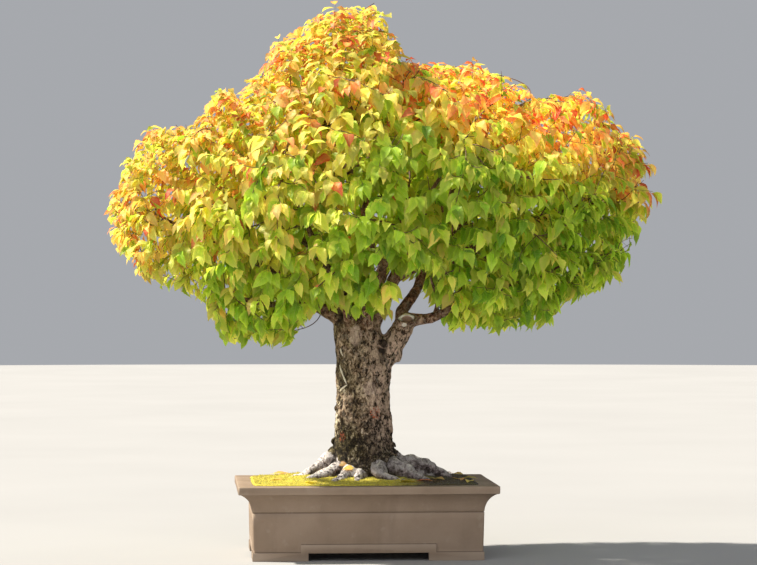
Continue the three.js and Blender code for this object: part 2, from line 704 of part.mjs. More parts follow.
// A blade by itself, closed at its root, to test whether it is clear of its neighbours
function leafSolid(stance) {
  const { edge, ribs } = bladePoints(stance);
  const ring = [stance.at, ...edge];
  const faces = ring.flatMap((_, a) => {
    const b = (a + 1) % ring.length;
    return [ring.length, a, b, ring.length + 1, b, a];
  });
  return indexedSolid([...ring, ...ribs], faces);
}

// The free facet in a row of sides that looks most nearly along a direction
function bestFacet(row, direction) {
  const free = row.filter((facet) => facet.free);
  const towards = ({ normal }) => normal.dot(direction);
  return free.reduce((best, next) => (towards(next) > towards(best) ? next : best), free[0]);
}

// The row of sides a distance back from a twig's tip, the share along that row, and the direction there
function rowBack({ rod, sides }, distance) {
  let left = distance;
  for (let i = rod.length - 1; i > 0; i--) {
    const way = rod[i].at.clone().sub(rod[i - 1].at);
    const length = way.length();
    if (left <= length) return { row: sides[i - 1], u: 1 - left / length, ahead: way.normalize() };
    left -= length;
  }
  return null;
}

function addTwig(skin, main, spray, tip, taken) {
  const shapes = BENDS.map((bends) => () => {
    if (!main) {
      const foot = spray.start.clone().addScaledVector(spray.ahead, GAP);
      const collar = foot.clone().addScaledVector(spray.ahead, TWIG.collar);
      const rod = twigRod(collar, spray.ahead, tip.at, TWIG.start, 3, bends);
      return { rod: [{ at: foot, radius: TWIG.start }, ...rod] };
    }
    const back = SIDE_TWIG_FROM.first + SIDE_TWIG_FROM.range * draw(7, tip.index);
    const place = rowBack(main, back * rodLength(main.rod));
    const way = tip.at.clone().sub(spray.start).normalize();
    const facet = bestFacet(place.row, way);
    if (!facet) return null;
    const foot = skin.placeOn(facet, place.u, 0.5);
    const ahead = way.add(place.ahead).addScaledVector(facet.normal, 0.8).normalize();
    return { rod: twigRod(foot, ahead, tip.at, TWIG.side, 2, bends), facet, u: place.u };
  });
  const onMain = (other) => main && other.owner === main;
  const made = firstClear(shapes, ({ rod }) => rodSolid(rod, 3), taken, onMain);
  if (!made) return null;
  const { shape, solid } = made;
  const { sides, tip: end } = skin.addRod(shape.rod, shape.facet && skin.open(shape.facet, shape.u));
  const twig = { rod: shape.rod, sides, end, index: tip.index };
  taken.add(solid, twig);
  return twig;
}

function addLeafTo(skin, twig, k, taken) {
  if (k * LEAF.step > LEAFY_SHARE * rodLength(twig.rod)) return;
  const { row, u, ahead } = rowBack(twig, k * LEAF.step);
  const middle = fromRod(twig.rod, 0).clone().addScaledVector(ahead, -k * LEAF.step);
  if (inWindow(middle)) return;
  const shapes = BENDS.slice(0, 5).map((bends) => () => {
    const facet = k ? bestFacet(row, leafStance(twig, k, middle, ahead, bends).along) : twig.end;
    if (!facet) return null;
    const stance = leafStance(twig, k, k ? skin.placeOn(facet, u, 0.5) : middle, ahead, bends);
    const rise = stance.along.dot(facet.normal);
    const short = Math.max(0, LEAF.leastRise - rise);
    stance.along.addScaledVector(facet.normal, short).normalize();
    return { stance, facet };
  });
  const onTwig = (other) => other.owner === twig;
  const made = firstClear(shapes, ({ stance }) => leafSolid(stance), taken, onTwig);
  if (!made) return;
  const { stance, facet } = made.shape;
  skin.addLeaf(skin.open(facet, u), bladePoints(stance));
  taken.add(made.solid, {});
}

// Twigs and leaves of one branch, as one solid. The twig that runs on straightest carries the others.
function spraySolid(spray, taken) {
  const straight = ({ at }) => at.clone().sub(spray.start).normalize().dot(spray.ahead);
  const skin = new Skin();
  const twigs = [];
  for (const tip of [...spray.tips].sort((a, b) => straight(b) - straight(a))) {
    const twig = addTwig(skin, twigs[0], spray, tip, taken);
    if (twig) twigs.push(twig);
  }
  for (const twig of twigs) {
    for (const k of LEAVES_MADE) addLeafTo(skin, twig, k, taken);
  }
  return twigs.length ? skin.solid() : null;
}

// Ground

const SOIL_HALF = { x: LIP_LENGTH / 2 - WALL_INSET_TOP, y: LIP_DEPTH / 2 - WALL_INSET_TOP };

function groundHeight(x, y) {
  const fall = (value, half) => Math.max(0, 1 - (value / half) ** 4);
  return SOIL_EDGE + SOIL_RISE * fall(x, SOIL_HALF.x) * fall(y, SOIL_HALF.y);
}

// A block between an upper and a lower surface, each a function that gives the point of a column and row
function gridSolid(columns, rows, upper, lower) {
  const points = [upper, lower].flatMap((surface) =>
    Array.from({ length: columns * rows }, (_, n) => surface(n % columns, Math.floor(n / columns))),
  );
  const below = columns * rows;
  const faces = [];
  for (let j = 0; j + 1 < rows; j++) {
    for (let i = 0; i + 1 < columns; i++) {
      const a = j * columns + i;
      const [b, c, d] = [a + 1, a + columns + 1, a + columns];
      faces.push(a, b, c, a, c, d);
      faces.push(below + a, below + c, below + b, below + a, below + d, below + c);
    }
  }
  const rim = [];
  for (let i = 0; i + 1 < columns; i++) rim.push(i);
  for (let j = 0; j + 1 < rows; j++) rim.push(j * columns + columns - 1);
  for (let i = columns - 1; i > 0; i--) rim.push((rows - 1) * columns + i);
  for (let j = rows - 1; j > 0; j--) rim.push(j * columns);
  rim.forEach((a, i) => {
    const b = rim[(i + 1) % rim.length];
    faces.push(below + a, below + b, b, below + a, b, a);
  });
  return indexedSolid(points, faces);
}

// Grid lines from -half to half with an even number of cells, after any given outer lines
function gridLines(half, cells, outer = []) {
  const inner = Array.from({ length: cells + 1 }, (_, i) => half * ((2 * i) / cells - 1));
  return [...outer.map((line) => -line).reverse(), ...inner, ...outer];
}

const GROUND_CELLS = { x: 6, y: 4 };

function soilSolid(roots) {
  const taper = (WALL_INSET_FLOOR - WALL_INSET_TOP) / (POT_HEIGHT - FLOOR_TOP);
  const clear = GAP + taper * (POT_HEIGHT - SOIL_EDGE);
  const bottom = FLOOR_TOP + GAP;
  const narrower = taper * (SOIL_EDGE - bottom);
  const xs = gridLines(SOIL_HALF.x - clear, GROUND_CELLS.x);
  const ys = gridLines(SOIL_HALF.y - clear, GROUND_CELLS.y);
  const shrink = (value, lines) => value * (1 - narrower / lines[lines.length - 1]);
  const upper = (i, j) => vector(xs[i], ys[j], groundHeight(xs[i], ys[j]));
  const lower = (i, j) => vector(shrink(xs[i], xs), shrink(ys[j], ys), bottom);
  const pockets = [-DRAIN.x, DRAIN.x].map((x) => {
    const half = SCREEN.side / 2 + GAP;
    return boxSolid(vector(x - half, -half, 0), vector(x + half, half, bottom + SCREEN.thickness + GAP));
  });
  const filling = gridSolid(xs.length, ys.length, upper, lower);
  return [roots, ...pockets].reduce((soil, cut) => soil.subtract(cut), filling);
}

// Inside the wall the moss lies on the soil; a step in its underside then takes it over the lip
function mossSolid(roots) {
  const step = 1;
  const inner = { x: SOIL_HALF.x - step - 2 * GAP, y: SOIL_HALF.y - step - 2 * GAP };
  const lines = (half, cells) => gridLines(half, cells, [half + step, half + step + MOSS_OVER_LIP]);
  const [xs, ys] = [lines(inner.x, GROUND_CELLS.x), lines(inner.y, GROUND_CELLS.y)];
  const overLip = (x, y) => Math.abs(x) > inner.x + 0.01 || Math.abs(y) > inner.y + 0.01;
  const under = (x, y) => (overLip(x, y) ? POT_HEIGHT : groundHeight(x, y)) + GAP;
  const atEdge = (value, values) => Math.abs(value) === values[values.length - 1];
  const over = (x, y) => {
    if (atEdge(x, xs) || atEdge(y, ys)) return POT_HEIGHT + GAP + MOSS_EDGE;
    const swell = 1.2 * Math.sin(x / 31 + 1) * Math.cos(y / 27);
    return Math.max(groundHeight(x, y) + MOSS_THICKNESS, POT_HEIGHT + GAP + MOSS_EDGE + 2) + swell;
  };
  const upper = (i, j) => vector(xs[i], ys[j], over(xs[i], ys[j]));
  const lower = (i, j) => vector(xs[i], ys[j], under(xs[i], ys[j]));
  return gridSolid(xs.length, ys.length, upper, lower).subtract(roots);
}

// The whole object

const MATERIALS = {
  clay: { color: 0xa28a72, roughness: 0.75 },
  plastic: { color: 0x2b2b2b, roughness: 0.6 },
  soil: { color: 0x4a3b2d, roughness: 1 },
  moss: { color: 0x6f7f2e, roughness: 1 },
  bark: { color: 0x7d7268, roughness: 0.9 },
  greenLeaf: { color: 0x7fa32e, roughness: 0.55 },
  yellowLeaf: { color: 0xd9b84a, roughness: 0.55 },
  orangeLeaf: { color: 0xd98245, roughness: 0.55 },
};

const bonsai = new THREE.Group();

function addMesh(name, solid, material) {
  const surface = new THREE.MeshStandardMaterial({ metalness: 0, ...material });
  const mesh = new THREE.Mesh(geometryOf(solid), surface);
  mesh.name = name;
  bonsai.add(mesh);
}

// Autumn colour comes first at the top and on the left; the low right side is still green
function leafMaterial({ x, z }) {
  const ripeness = (z - CROWN_CENTRE.z) / 300 - (x - CROWN_CENTRE.x) / 1100;
  if (ripeness > 0.62) return MATERIALS.orangeLeaf;
  return ripeness > 0.12 ? MATERIALS.yellowLeaf : MATERIALS.greenLeaf;
}

const limbEnds = limbRods.map((rod) => fromRod(rod, 0));
const sprayStarts = spread(SPRAYS, SPRAY_SHARE, 1, limbEnds);
const shoots = SHOOTS.map((p) => vector(...p));
const tips = spread(TIPS, TIP_SHARE, 2, [...shoots, ...cornerTips()]);
const sprays = shareTips(sprayStarts, tips);
growBranches(sprays);
const wood = joined([
  rootMass(0),
  ...[...limbRods, rodOf(STUB)].map((rod) => rodSolid(rod, LIMB_SIDES)),
  ...sprays.filter(({ branch }) => branch).map(({ branch }) => rodSolid(branch, BRANCH.sides)),
]);
const holes = rootMass(1.5 * GAP);
const taken = new Taken();
taken.add(wood, {});

addMesh("pot", potSolid(), MATERIALS.clay);
addMesh("drain_screen_left", screenSolid(-DRAIN.x), MATERIALS.plastic);
addMesh("drain_screen_right", screenSolid(DRAIN.x), MATERIALS.plastic);
addMesh("soil", soilSolid(holes), MATERIALS.soil);
addMesh("moss", mossSolid(holes), MATERIALS.moss);
addMesh("tree_wood", wood, MATERIALS.bark);
sprays.forEach((spray, i) => {
  const solid = spraySolid(spray, taken);
  if (solid) addMesh(`leafy_spray_${String(i + 1).padStart(2, "0")}`, solid, leafMaterial(spray.start));
});

bonsai.position.x = SHIFT_TO_MIDDLE;
export default bonsai;
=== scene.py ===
"""The finished surfaces of a zelkova bonsai in its rectangular clay pot.

Lengths are millimetres from the middle of the pot, +Z up and the front towards -Y, until
make_piece() puts them into the frame, which is in metres.
"""

import math
from functools import partialmethod

import bmesh
import bpy
import numpy as np
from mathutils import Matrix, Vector
from mathutils.bvhtree import BVHTree
from mathutils.kdtree import KDTree


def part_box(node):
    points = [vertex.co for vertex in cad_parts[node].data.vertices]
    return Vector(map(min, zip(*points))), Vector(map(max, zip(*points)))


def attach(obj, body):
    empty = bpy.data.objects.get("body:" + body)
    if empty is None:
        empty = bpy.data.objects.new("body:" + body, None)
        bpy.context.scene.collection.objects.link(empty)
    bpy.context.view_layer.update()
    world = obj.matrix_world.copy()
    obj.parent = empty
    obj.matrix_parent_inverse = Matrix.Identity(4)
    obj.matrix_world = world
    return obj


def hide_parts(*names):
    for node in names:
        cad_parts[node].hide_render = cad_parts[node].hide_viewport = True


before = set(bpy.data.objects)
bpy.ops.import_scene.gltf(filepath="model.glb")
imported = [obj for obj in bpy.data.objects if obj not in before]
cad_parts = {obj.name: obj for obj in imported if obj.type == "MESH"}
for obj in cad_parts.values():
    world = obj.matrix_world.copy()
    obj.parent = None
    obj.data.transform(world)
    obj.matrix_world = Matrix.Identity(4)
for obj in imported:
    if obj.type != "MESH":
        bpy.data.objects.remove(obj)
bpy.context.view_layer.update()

MM = 0.001
pot_low, pot_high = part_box("pot")
POT_MIDDLE = np.array([(pot_low.x + pot_high.x) / 2, (pot_low.y + pot_high.y) / 2, 0]) / MM

# Where the camera stood
CAMERA_LENS = 135.4
CAMERA_DISTANCE = 6036
CAMERA_HEIGHT = 575
CAMERA_TURN = math.radians(4)  # how far to the left of the pot's front it stands
CAMERA_ASIDE = 31  # how far the picture's middle lies right of the pot's

# The pot
LIP_HALF = (270, 190)
POT_HEIGHT = 155
LIP_BAND = 15.5
BODY_INSET = 29.7
BODY_TAPER = 1.9
FOOT_INSET = 30
SHOULDER = 101.5
GROOVE = 1.3
FLOOR_BOTTOM = 16.4
FLOOR_TOP = 31
BAND_TOP = 17.6
APRON_TOP = 34.2
WALL_INSET_TOP = 42
WALL_INSET_FLOOR = 47
FOOT_THICKNESS = 24
FOOT_OPENING_HALF = (124.5, 75)
APRON_HALF = (140, 90.5)
BAND_DEPTH = 7
DRAIN_X = 112
DRAIN_RADIUS = 16
DRAIN_ENDS = (5, 45)  # the holes are cut between these heights
CORNER = 4  # radius of the upright corners outside
INNER_CORNER = 2  # and inside
FOOT_EDGE = 0.9  # how far the edges of the feet
BAND_EDGE = 0.8  # and of the band are rounded
WALL_STEP = 20  # length of a face along the wall

# The ground
SOIL_EDGE = 147
SOIL_RISE = 15
SOIL_HALF = (LIP_HALF[0] - WALL_INSET_TOP, LIP_HALF[1] - WALL_INSET_TOP)
SOIL_CLEAR = 0.5
MOSS_THICKNESS = 7
MOSS_EDGE_HEIGHT = POT_HEIGHT + 1.2
MOSS_HALF = (232, 156)  # the moss reaches about this far from the pot's middle
MOSS_WAVER = 3.5  # and its edge wavers by this
MOSS_GRID = (168, 116)
TUFTS = 7500
SOIL_GRID = (110, 72)
GRAINS = 2600
GRAIN_HALF = (214, 136)

# The trunk's sections: height, x of the middle, half width, half depth
TRUNK = [
    (136, -3, 78, 68), (184, -3, 73, 65), (212, -3, 65, 60), (241, -3, 61, 57),
    (295, -3, 57, 54), (349, -3, 56, 53), (390, 0, 58, 53), (430, -6, 55, 51),
    (470, -14, 50, 47), (500, -16, 44, 42), (524, -17, 28, 28),
]
# Roots and limbs: x, y, z and radius of each point
ROOTS = [
    [(-40, -4, 210, 30), (-70, -8, 198, 23), (-100, -14, 180, 15), (-130, -24, 168, 11), (-162, -34, 160, 6)],
    [(-36, -26, 192, 24), (-64, -46, 179, 16), (-92, -62, 171, 12), (-126, -74, 161, 6)],
    [(-22, -40, 186, 24), (-36, -68, 175, 17), (-52, -96, 167, 11), (-70, -112, 160, 6)],
    [(-6, -42, 186, 20), (-12, -72, 172, 14), (-24, -114, 159, 6)],
    [(16, -40, 194, 24), (27, -70, 184, 19), (32, -94, 171, 13), (60, -108, 164, 8), (88, -114, 158, 5)],
    [(34, -26, 198, 26), (62, -44, 186, 21), (90, -60, 175, 16), (134, -84, 159, 6)],
    [(40, -4, 208, 26), (72, -6, 196, 20), (104, -8, 193, 16), (134, -8, 187, 13), (158, -4, 174, 10),
     (186, 2, 159, 6)],
    [(86, -12, 182, 16), (116, -12, 172, 14), (148, -8, 164, 8)],
    [(32, 26, 196, 24), (58, 48, 182, 16), (112, 84, 159, 7)],
    [(2, 38, 190, 22), (8, 68, 176, 15), (20, 114, 159, 6)],
    [(-32, 26, 194, 24), (-58, 50, 180, 16), (-110, 84, 159, 7)],
]
LIMBS = [
    [(-20, 0, 480, 30), (-42, -7, 524, 21), (-47, -10, 560, 17.5), (-22, -5, 598, 15.5), (4, 0, 622, 14.5),
     (11, 5, 655, 13.5), (7, 6, 700, 12), (0, 8, 760, 10.5), (-19, 5, 860, 8), (-42, 0, 985, 3.6)],
    [(-44, -10, 572, 14), (-83, -20, 619, 12), (-136, -30, 676, 10), (-210, -35, 760, 7.5),
     (-285, -28, 850, 3.6)],
    [(5, 0, 475, 28), (27, -5, 508, 18), (40, -8, 538, 14.5), (64, -5, 583, 13), (78, 0, 618, 12.5),
     (92, 6, 636, 11.5), (144, 20, 689, 10), (185, 25, 755, 8.5), (255, 18, 885, 3.6)],
    [(62, -5, 579, 9), (100, -15, 600, 8.5), (150, -25, 617, 7.6), (260, -40, 662, 6), (385, -46, 712, 3.6)],
    [(15, 0, 382, 30), (42, -4, 418, 27), (66, -8, 454, 25), (86, -10, 486, 22), (102, -14, 495, 15),
     (140, -22, 500, 10.8), (193, -30, 523, 8.8), (285, -36, 556, 7), (400, -32, 602, 3.6)],
    [(84, -10, 484, 16), (80, -2, 512, 13), (114, 26, 559, 11.2), (142, 70, 622, 9.5), (200, 122, 684, 7),
     (285, 160, 752, 3.6)],
    [(-25, -5, 466, 26), (-54, -11, 499, 17), (-83, -18, 516, 13.5), (-114, -22, 534, 12),
     (-161, -30, 580, 10), (-231, -40, 619, 8.5), (-310, -45, 655, 6.5), (-405, -42, 700, 3.6)],
    [(-112, -22, 533, 9), (-156, -58, 532, 8), (-205, -84, 530, 6), (-275, -95, 545, 3.6)],
    [(-18, 18, 470, 26), (-34, 50, 522, 15), (-70, 104, 585, 11.5), (-130, 165, 650, 8.5),
     (-215, 215, 742, 3.6)],
    [(0, 20, 462, 24), (18, 56, 526, 14), (48, 112, 590, 10.5), (78, 170, 662, 8), (112, 226, 778, 3.6)],
    [(-22, -20, 462, 22), (-38, -56, 525, 12), (-70, -108, 584, 9.5), (-108, -165, 650, 7),
     (-152, -222, 738, 3.6)],
    [(0, -20, 470, 20), (12, -54, 545, 11.5), (48, -110, 640, 9), (92, -165, 700, 7), (142, -222, 792, 3.6)],
]
STUB = [(80, -6, 478, 17), (92, -18, 498, 15.5), (96, -23, 506, 11)]
# Swellings on the fork: a dark burl in its crotch, and the bulge below the wound
KNOTS = [
    [(38, -30, 440, 7), (40, -40, 447, 8), (37, -44, 453, 5)],
    [(60, -6, 442, 20), (61, -6, 428, 22), (56, -6, 412, 20)],
]
WOUND = np.array([89.0, -33.0, 497.0])  # middle of the callus ring on the stub
WOUND_AXIS = np.array([-0.05, -0.86, 0.5])
WOUND_HALF = (17, 9)

# The crown, seen from the front: x and z of its outline, clockwise from the far left
CROWN_OUTLINE = np.array([
    (-545, 718), (-507, 824), (-454, 903), (-386, 907), (-337, 924), (-314, 988), (-257, 973), (-212, 1030),
    (-187, 1089), (-125, 1115), (-98, 1149), (-40, 1153), (21, 1168), (51, 1110), (81, 1043), (193, 1043),
    (256, 1034), (314, 992), (390, 968), (464, 985), (509, 937), (579, 882), (606, 824), (606, 740),
    (570, 634), (511, 559), (415, 525), (384, 479), (288, 470), (182, 474), (129, 490), (-30, 504),
    (-89, 527), (-167, 443), (-295, 438), (-341, 538), (-454, 576), (-528, 644),
], float)
SHOOTS = [
    (-98, 25, 1145), (21, -15, 1166), (-295, -30, 975), (448, 20, 972), (555, -15, 872), (574, 30, 826),
    (-515, 10, 745), (-484, -40, 812), (-420, 60, 893), (388, -60, 955), (-212, 40, 1020), (574, -50, 745),
]
CROWN_MIDDLE = np.array([30.0, 0.0, 745.0])
CROWN_HALF_DEPTH = 375
CORNER_INSET = 6  # tips stand at the outline's corners, this far inside them
CORNER_HALF_DEPTH = 120
CORNER_CLEAR = 45  # and this far from the shoots
LEAF_DROP = 24  # leaves hang this far below a tip on the crown's underside
WINDOW = (5, 135, 605)  # no sprays in front of the fork: left, right, top
TRUNK_ROOM = (20, 125, 600)  # nor here: x of the middle, radius, top
LEAFLESS = (10, 95, 515)  # the same for the finer twigs
# Gaps that show the bare limbs: left, right, bottom and top. Leaves that start in one are left out.
GAPS = [(8, 50, 583, 650), (42, 150, 480, 618), (100, 170, 430, 556)]
SPRAYS = 39
SPRAY_SHARE = 0.62
TIPS = 116
TIP_SHARE = 0.95
CANDIDATES = 24
# Finer twigs end in shells through the crown, from the inside out: how many, at which share of its radius
SHELLS = [(150, 0.52), (320, 0.70), (480, 0.84), (540, 0.96)]
# and along its outline, as seen from the front: every so far, and this deep
RIM_STEP = 17
RIM_HALF_DEPTH = 170
RIM_INSETS = (2, 36)  # in two rows, this far inside it
RIM_SPREAD = 14
# Radii of the branches and the main twigs
BRANCH_END = 3.2
BRANCH_TAPER = 0.022  # for each millimetre of length
TWIG_START = 2.9
TWIG_END = 0.9
ERECT_HEIGHTS = (760, 980)  # between these heights the shoots turn from spreading to upright

# The leaves
LEAF_LENGTH = 46
LEAF_WIDTH = 21.5
LEAF_STEP = 8.6
LEAFY_SHARES = (0.85, 0.95)  # of a main twig and of a finer one
LEAF_PAST = 4  # leaves start no further outside the crown's outline
LEAF_TIP_PAST = 1  # and their tips end hardly further,
SHOOT_LEAF_PAST = 13  # but for those of the shoots
TWIG_PAST = 12  # twigs reach no further outside it
RAGGED = 9  # how far the crown's rim wavers
RAGGED_SIZE = 44  # and the width of its tufts
SUNNY_LEAF = 0.70  # size of the leaves in full light, against those in the shade
SUNNY_DEPTHS = (20, 240)
LARGE_SHARE = 0.05  # of the leaves in full light grow larger than the others
LARGE = 1.45
LEAF_SHAPES = 12  # shapes of each of two kinds: small leaves with few teeth, large ones with more
TEETH = (5, 7)
PETIOLE = 0.1  # share of a leaf's length
SUNWARD = (-0.6, 0.8)  # towards the light in the front view, x and z
SUN = np.array([-0.62, 0.16, 0.75])
# Chinks in the crown, where the sun shines through on bark and roots: where it falls, and how wide
CHINKS = [
    ((-60, -6, 262), 40), ((-60, -6, 294), 38), ((-58, -10, 345), 34), ((-95, -14, 190), 52),
    ((-62, -50, 180), 48), ((-25, -88, 170), 38),
]
# Where the background would show through the crown, on a grid this fine, twigs are added, this far apart
# and a little above the gap, as their leaves hang down
THIN_STEP = 7
THIN_APART = 17
THIN_RISE = 8
THIN_INSIDE = 4  # but not so close to the outline
THIN_ROUNDS = 2
FINER = 1000  # the finer twigs are numbered from here on, the main ones from 0
# From the crown's left to its right: the depths at which the autumn colour starts and ends to fade,
# and how far a leaf has turned before and after
FADE_X = (-300, 250)
FADE_STARTS = (0, 140)
FADE_ENDS = (480, 340)
RIPE_OUTSIDE = (0.622, 0.645)
RIPE_INSIDE = (0.378, 0.352)
MIXED = (0.0, 0.30)  # how much the leaves in full light differ from their neighbours
VIVID = (0.045, 0.11)  # and the share of them that are bright orange
LATE_SHARE = 0.14  # leaves that are still greener than their neighbours
LATE = 0.2
SKY_SHARE = 1.45  # weight of a leaf's depth below the crown's top, against its depth behind the sunny side
TOP_RIGHT_SUNLIGHT = 0.35  # the leaves at the top right are painted paler by this, as painted sunlight

UP = np.array([0.0, 0.0, 1.0])
CAMERA_RIGHT = np.array([math.cos(CAMERA_TURN), -math.sin(CAMERA_TURN), 0.0])
CAMERA_BACK = np.array([-math.sin(CAMERA_TURN), -math.cos(CAMERA_TURN), 0.0])
CAMERA_PLACE = CAMERA_HEIGHT * UP + CAMERA_ASIDE * CAMERA_RIGHT + CAMERA_DISTANCE * CAMERA_BACK


def draw(a, b=0, c=0, d=0):
    """A number from 0 to 1 that depends on its keys alone."""
    wave = np.sin(a * 12.9898 + b * 78.233 + c * 37.719 + d * 9.151 + 0.5) * 43758.5453
    return wave - np.floor(wave)


def unit(v):
    return v / np.linalg.norm(v, axis=-1, keepdims=True)


def rows_of(*numbers):
    """Numbers side by side, in a row for each point."""
    return np.stack(numbers, axis=1)


def smooth(low, high, x):
    """0 below low, 1 above high, and an even turn between them."""
    t = np.clip((x - low) / (high - low), 0, 1)
    return t * t * (3 - 2 * t)


def hashed(cells, seed):
    """A number from -1 to 1 for each row of three whole numbers."""
    mixed = cells[:, 0] * 73856093 ^ cells[:, 1] * 19349663 ^ cells[:, 2] * 83492791 ^ seed * 668265263
    mixed = (mixed ^ mixed >> 13) * 1274126177
    return ((mixed ^ mixed >> 16) & 0xFFFFFF) / 0x7FFFFF - 1


def bumps(p, size, seed=0):
    """Smooth noise from about -1 to 1 at points p, with a bump every size millimetres."""
    q = p / size + 0.37 * seed
    cell = np.floor(q).astype(np.int64)
    f = q - cell
    f = f * f * (3 - 2 * f)
    total = np.zeros(len(p))
    for corner in np.ndindex(2, 2, 2):
        weight = np.prod(np.where(corner, f, 1 - f), axis=1)
        total += weight * hashed(cell + corner, seed)
    return total


def rough(p, size, octaves=3, seed=0):
    """Noise that carries finer and finer noise."""
    return sum(bumps(p, size / 2**i, seed + i) / 2**i for i in range(octaves))


# Meshes


class Shape:
    """Points and faces that are gathered part by part, with numbers for each point."""

    def __init__(self, *parts):
        self.points = []
        self.faces = []
        self.slots = []
        self.values = {}
        self.count = 0
        for points, faces in parts:
            self.add(points, faces)

    def add(self, points, faces, slot=0, **values):
        self.points.append(points)
        self.faces.append([[i + self.count for i in face] for face in faces])
        self.slots.append(np.full(len(faces), slot))
        for name in set(values) | set(self.values):
            before = self.values.setdefault(name, [np.zeros(self.count)])
            before.append(np.broadcast_to(values.get(name, 0.0), len(points)))
        self.count += len(points)

    def all_points(self):
        return np.vstack(self.points)

    def all_faces(self):
        return [face for part in self.faces for face in part]

    def tree(self):
        return BVHTree.FromPolygons(self.all_points().tolist(), self.all_faces())


def bare_mesh(name, points, faces):
    mesh = bpy.data.meshes.new(name)
    mesh.from_pydata(np.asarray(points).tolist(), [], faces)
    mesh.update()
    return mesh


def linked(name, mesh):
    obj = bpy.data.objects.new(name, mesh)
    bpy.context.scene.collection.objects.link(obj)
    return obj


def draft(shape):
    return bare_mesh("draft", shape.all_points(), shape.all_faces())


def numbers_of(items, key, width, kind=float):
    """One row of numbers for each vertex, edge or corner of a mesh."""
    numbers = np.zeros(len(items) * width, kind)
    items.foreach_get(key, numbers)
    return numbers.reshape(-1, width)


def make_piece(name, shape, materials, nodes=()):
    """Makes one piece of the bonsai from a Shape, rides it on the root and lets it stand for its nodes."""
    mesh = bare_mesh(name, (shape.all_points() + POT_MIDDLE) * MM, shape.all_faces())
    for material in materials:
        mesh.materials.append(material)
    mesh.polygons.foreach_set("material_index", np.concatenate(shape.slots).astype(np.int32))
    mesh.shade_smooth()
    values = {key: np.concatenate(parts) for key, parts in shape.values.items()}
    if "u" in values:
        corners = numbers_of(mesh.loops, "vertex_index", 1, np.int32)[:, 0]
        places = rows_of(values.pop("u"), values.pop("v"))[corners]
        mesh.uv_layers.new(name="blade").data.foreach_set("uv", places.ravel())
    for key, numbers in values.items():
        mesh.attributes.new(key, "FLOAT", "POINT").data.foreach_set("value", numbers)
    mesh.update()
    obj = linked(name, mesh)
    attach(obj, "root")
    if nodes:
        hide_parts(*nodes)


def with_modifier(mesh, kind, **settings):
    """The points of a mesh, and the mesh itself, as a modifier makes it."""
    obj = linked("draft", mesh)
    modifier = obj.modifiers.new("draft", kind)
    for key, value in settings.items():
        setattr(modifier, key, value)
    result = bpy.data.meshes.new_from_object(obj.evaluated_get(bpy.context.evaluated_depsgraph_get()))
    bpy.data.objects.remove(obj)
    return numbers_of(result.vertices, "co", 3), result


def faces_of(mesh):
    """The corners of each face of a mesh, also of one that is still being edited."""
    if isinstance(mesh, bmesh.types.BMesh):
        return [[vertex.index for vertex in face.verts] for face in mesh.faces]
    return [list(face.vertices) for face in mesh.polygons]


def taken_apart(form):
    """The points and faces of a form that was edited, which is given up."""
    form.verts.index_update()
    points, faces = np.array([vertex.co for vertex in form.verts]), faces_of(form)
    form.free()
    return points, faces


def normals_of(points, faces):
    mesh = bare_mesh("draft", points, faces)
    normals = numbers_of(mesh.vertices, "normal", 3)
    bpy.data.meshes.remove(mesh)
    return normals


def relaxed(mesh, points, share, rounds):
    """Moves each point towards the mean of its neighbours, by one share or its own, several times."""
    ends = numbers_of(mesh.edges, "vertices", 2, np.int32)
    a, b = np.concatenate([ends, ends[:, ::-1]]).T
    degree = np.maximum(np.bincount(a, minlength=len(points)), 1)
    share = np.broadcast_to(share, len(points))[:, None]
    for _ in range(rounds):
        columns = [np.bincount(a, column[b], len(points)) / degree for column in points.T]
        points = points + share * (np.stack(columns, axis=1) - points)
    return points


def repeated(faces, size, count):
    """Faces of a form with this many points, repeated for a row of such forms."""
    return [[i + n * size for i in face] for n in range(count) for face in faces]


def search_tree(points):
    tree = KDTree(len(points))
    for i, point in enumerate(points):
        tree.insert(point, i)
    tree.balance()
    return tree


def smooth_rod(rod, step):
    """A smooth rod through rows of four numbers, with a row about every step millimetres."""
    rod = np.asarray(rod, float)
    ends = np.vstack([2 * rod[0] - rod[1], rod, 2 * rod[-1] - rod[-2]])
    rows = []
    for a, b, c, d in zip(ends, ends[1:], ends[2:], ends[3:]):
        count = max(1, round(np.linalg.norm((c - b)[:3]) / step))
        t = (np.arange(count) / count)[:, None]
        cubic = (3 * b - a - 3 * c + d) * t**3
        rows.append(0.5 * (2 * b + (c - a) * t + (2 * a - 5 * b + 4 * c - d) * t**2 + cubic))
    rows.append(rod[-1:])
    return np.vstack(rows)


def ring_faces(rings, sides):
    """Faces between rings of points, with a cap on each end."""
    faces = []
    for r in range(rings - 1):
        for s in range(sides):
            a, b = r * sides + s, r * sides + (s + 1) % sides
            faces.append([a, b, b + sides, a + sides])
    faces.append(list(range(sides))[::-1])
    faces.append([(rings - 1) * sides + s for s in range(sides)])
    return faces


def tube(rod, sides, unevenness=0.0):
    """Points and faces of a rod given as rows of x, y, z and radius."""
    at, radius = rod[:, :3], rod[:, 3]
    tangent = unit(np.gradient(at, axis=0))
    corner = np.array([0.31, 0.87, 0.38])
    corners = []
    for t in tangent:
        corner = unit(corner - corner @ t * t)
        corners.append(corner)
    corners = np.array(corners)[:, None, :]
    others = np.cross(tangent[:, None, :], corners)
    angle = (2 * np.pi * np.arange(sides) / sides)[None, :, None]
    spokes = np.cos(angle) * corners + np.sin(angle) * others
    points = (at[:, None, :] + radius[:, None, None] * spokes).reshape(-1, 3)
    if unevenness:
        swell = unevenness * bumps(points, 9, 3)[:, None]
        points = points + swell * (radius[:, None, None] * spokes).reshape(-1, 3)
    return points, ring_faces(len(rod), sides)


# Materials


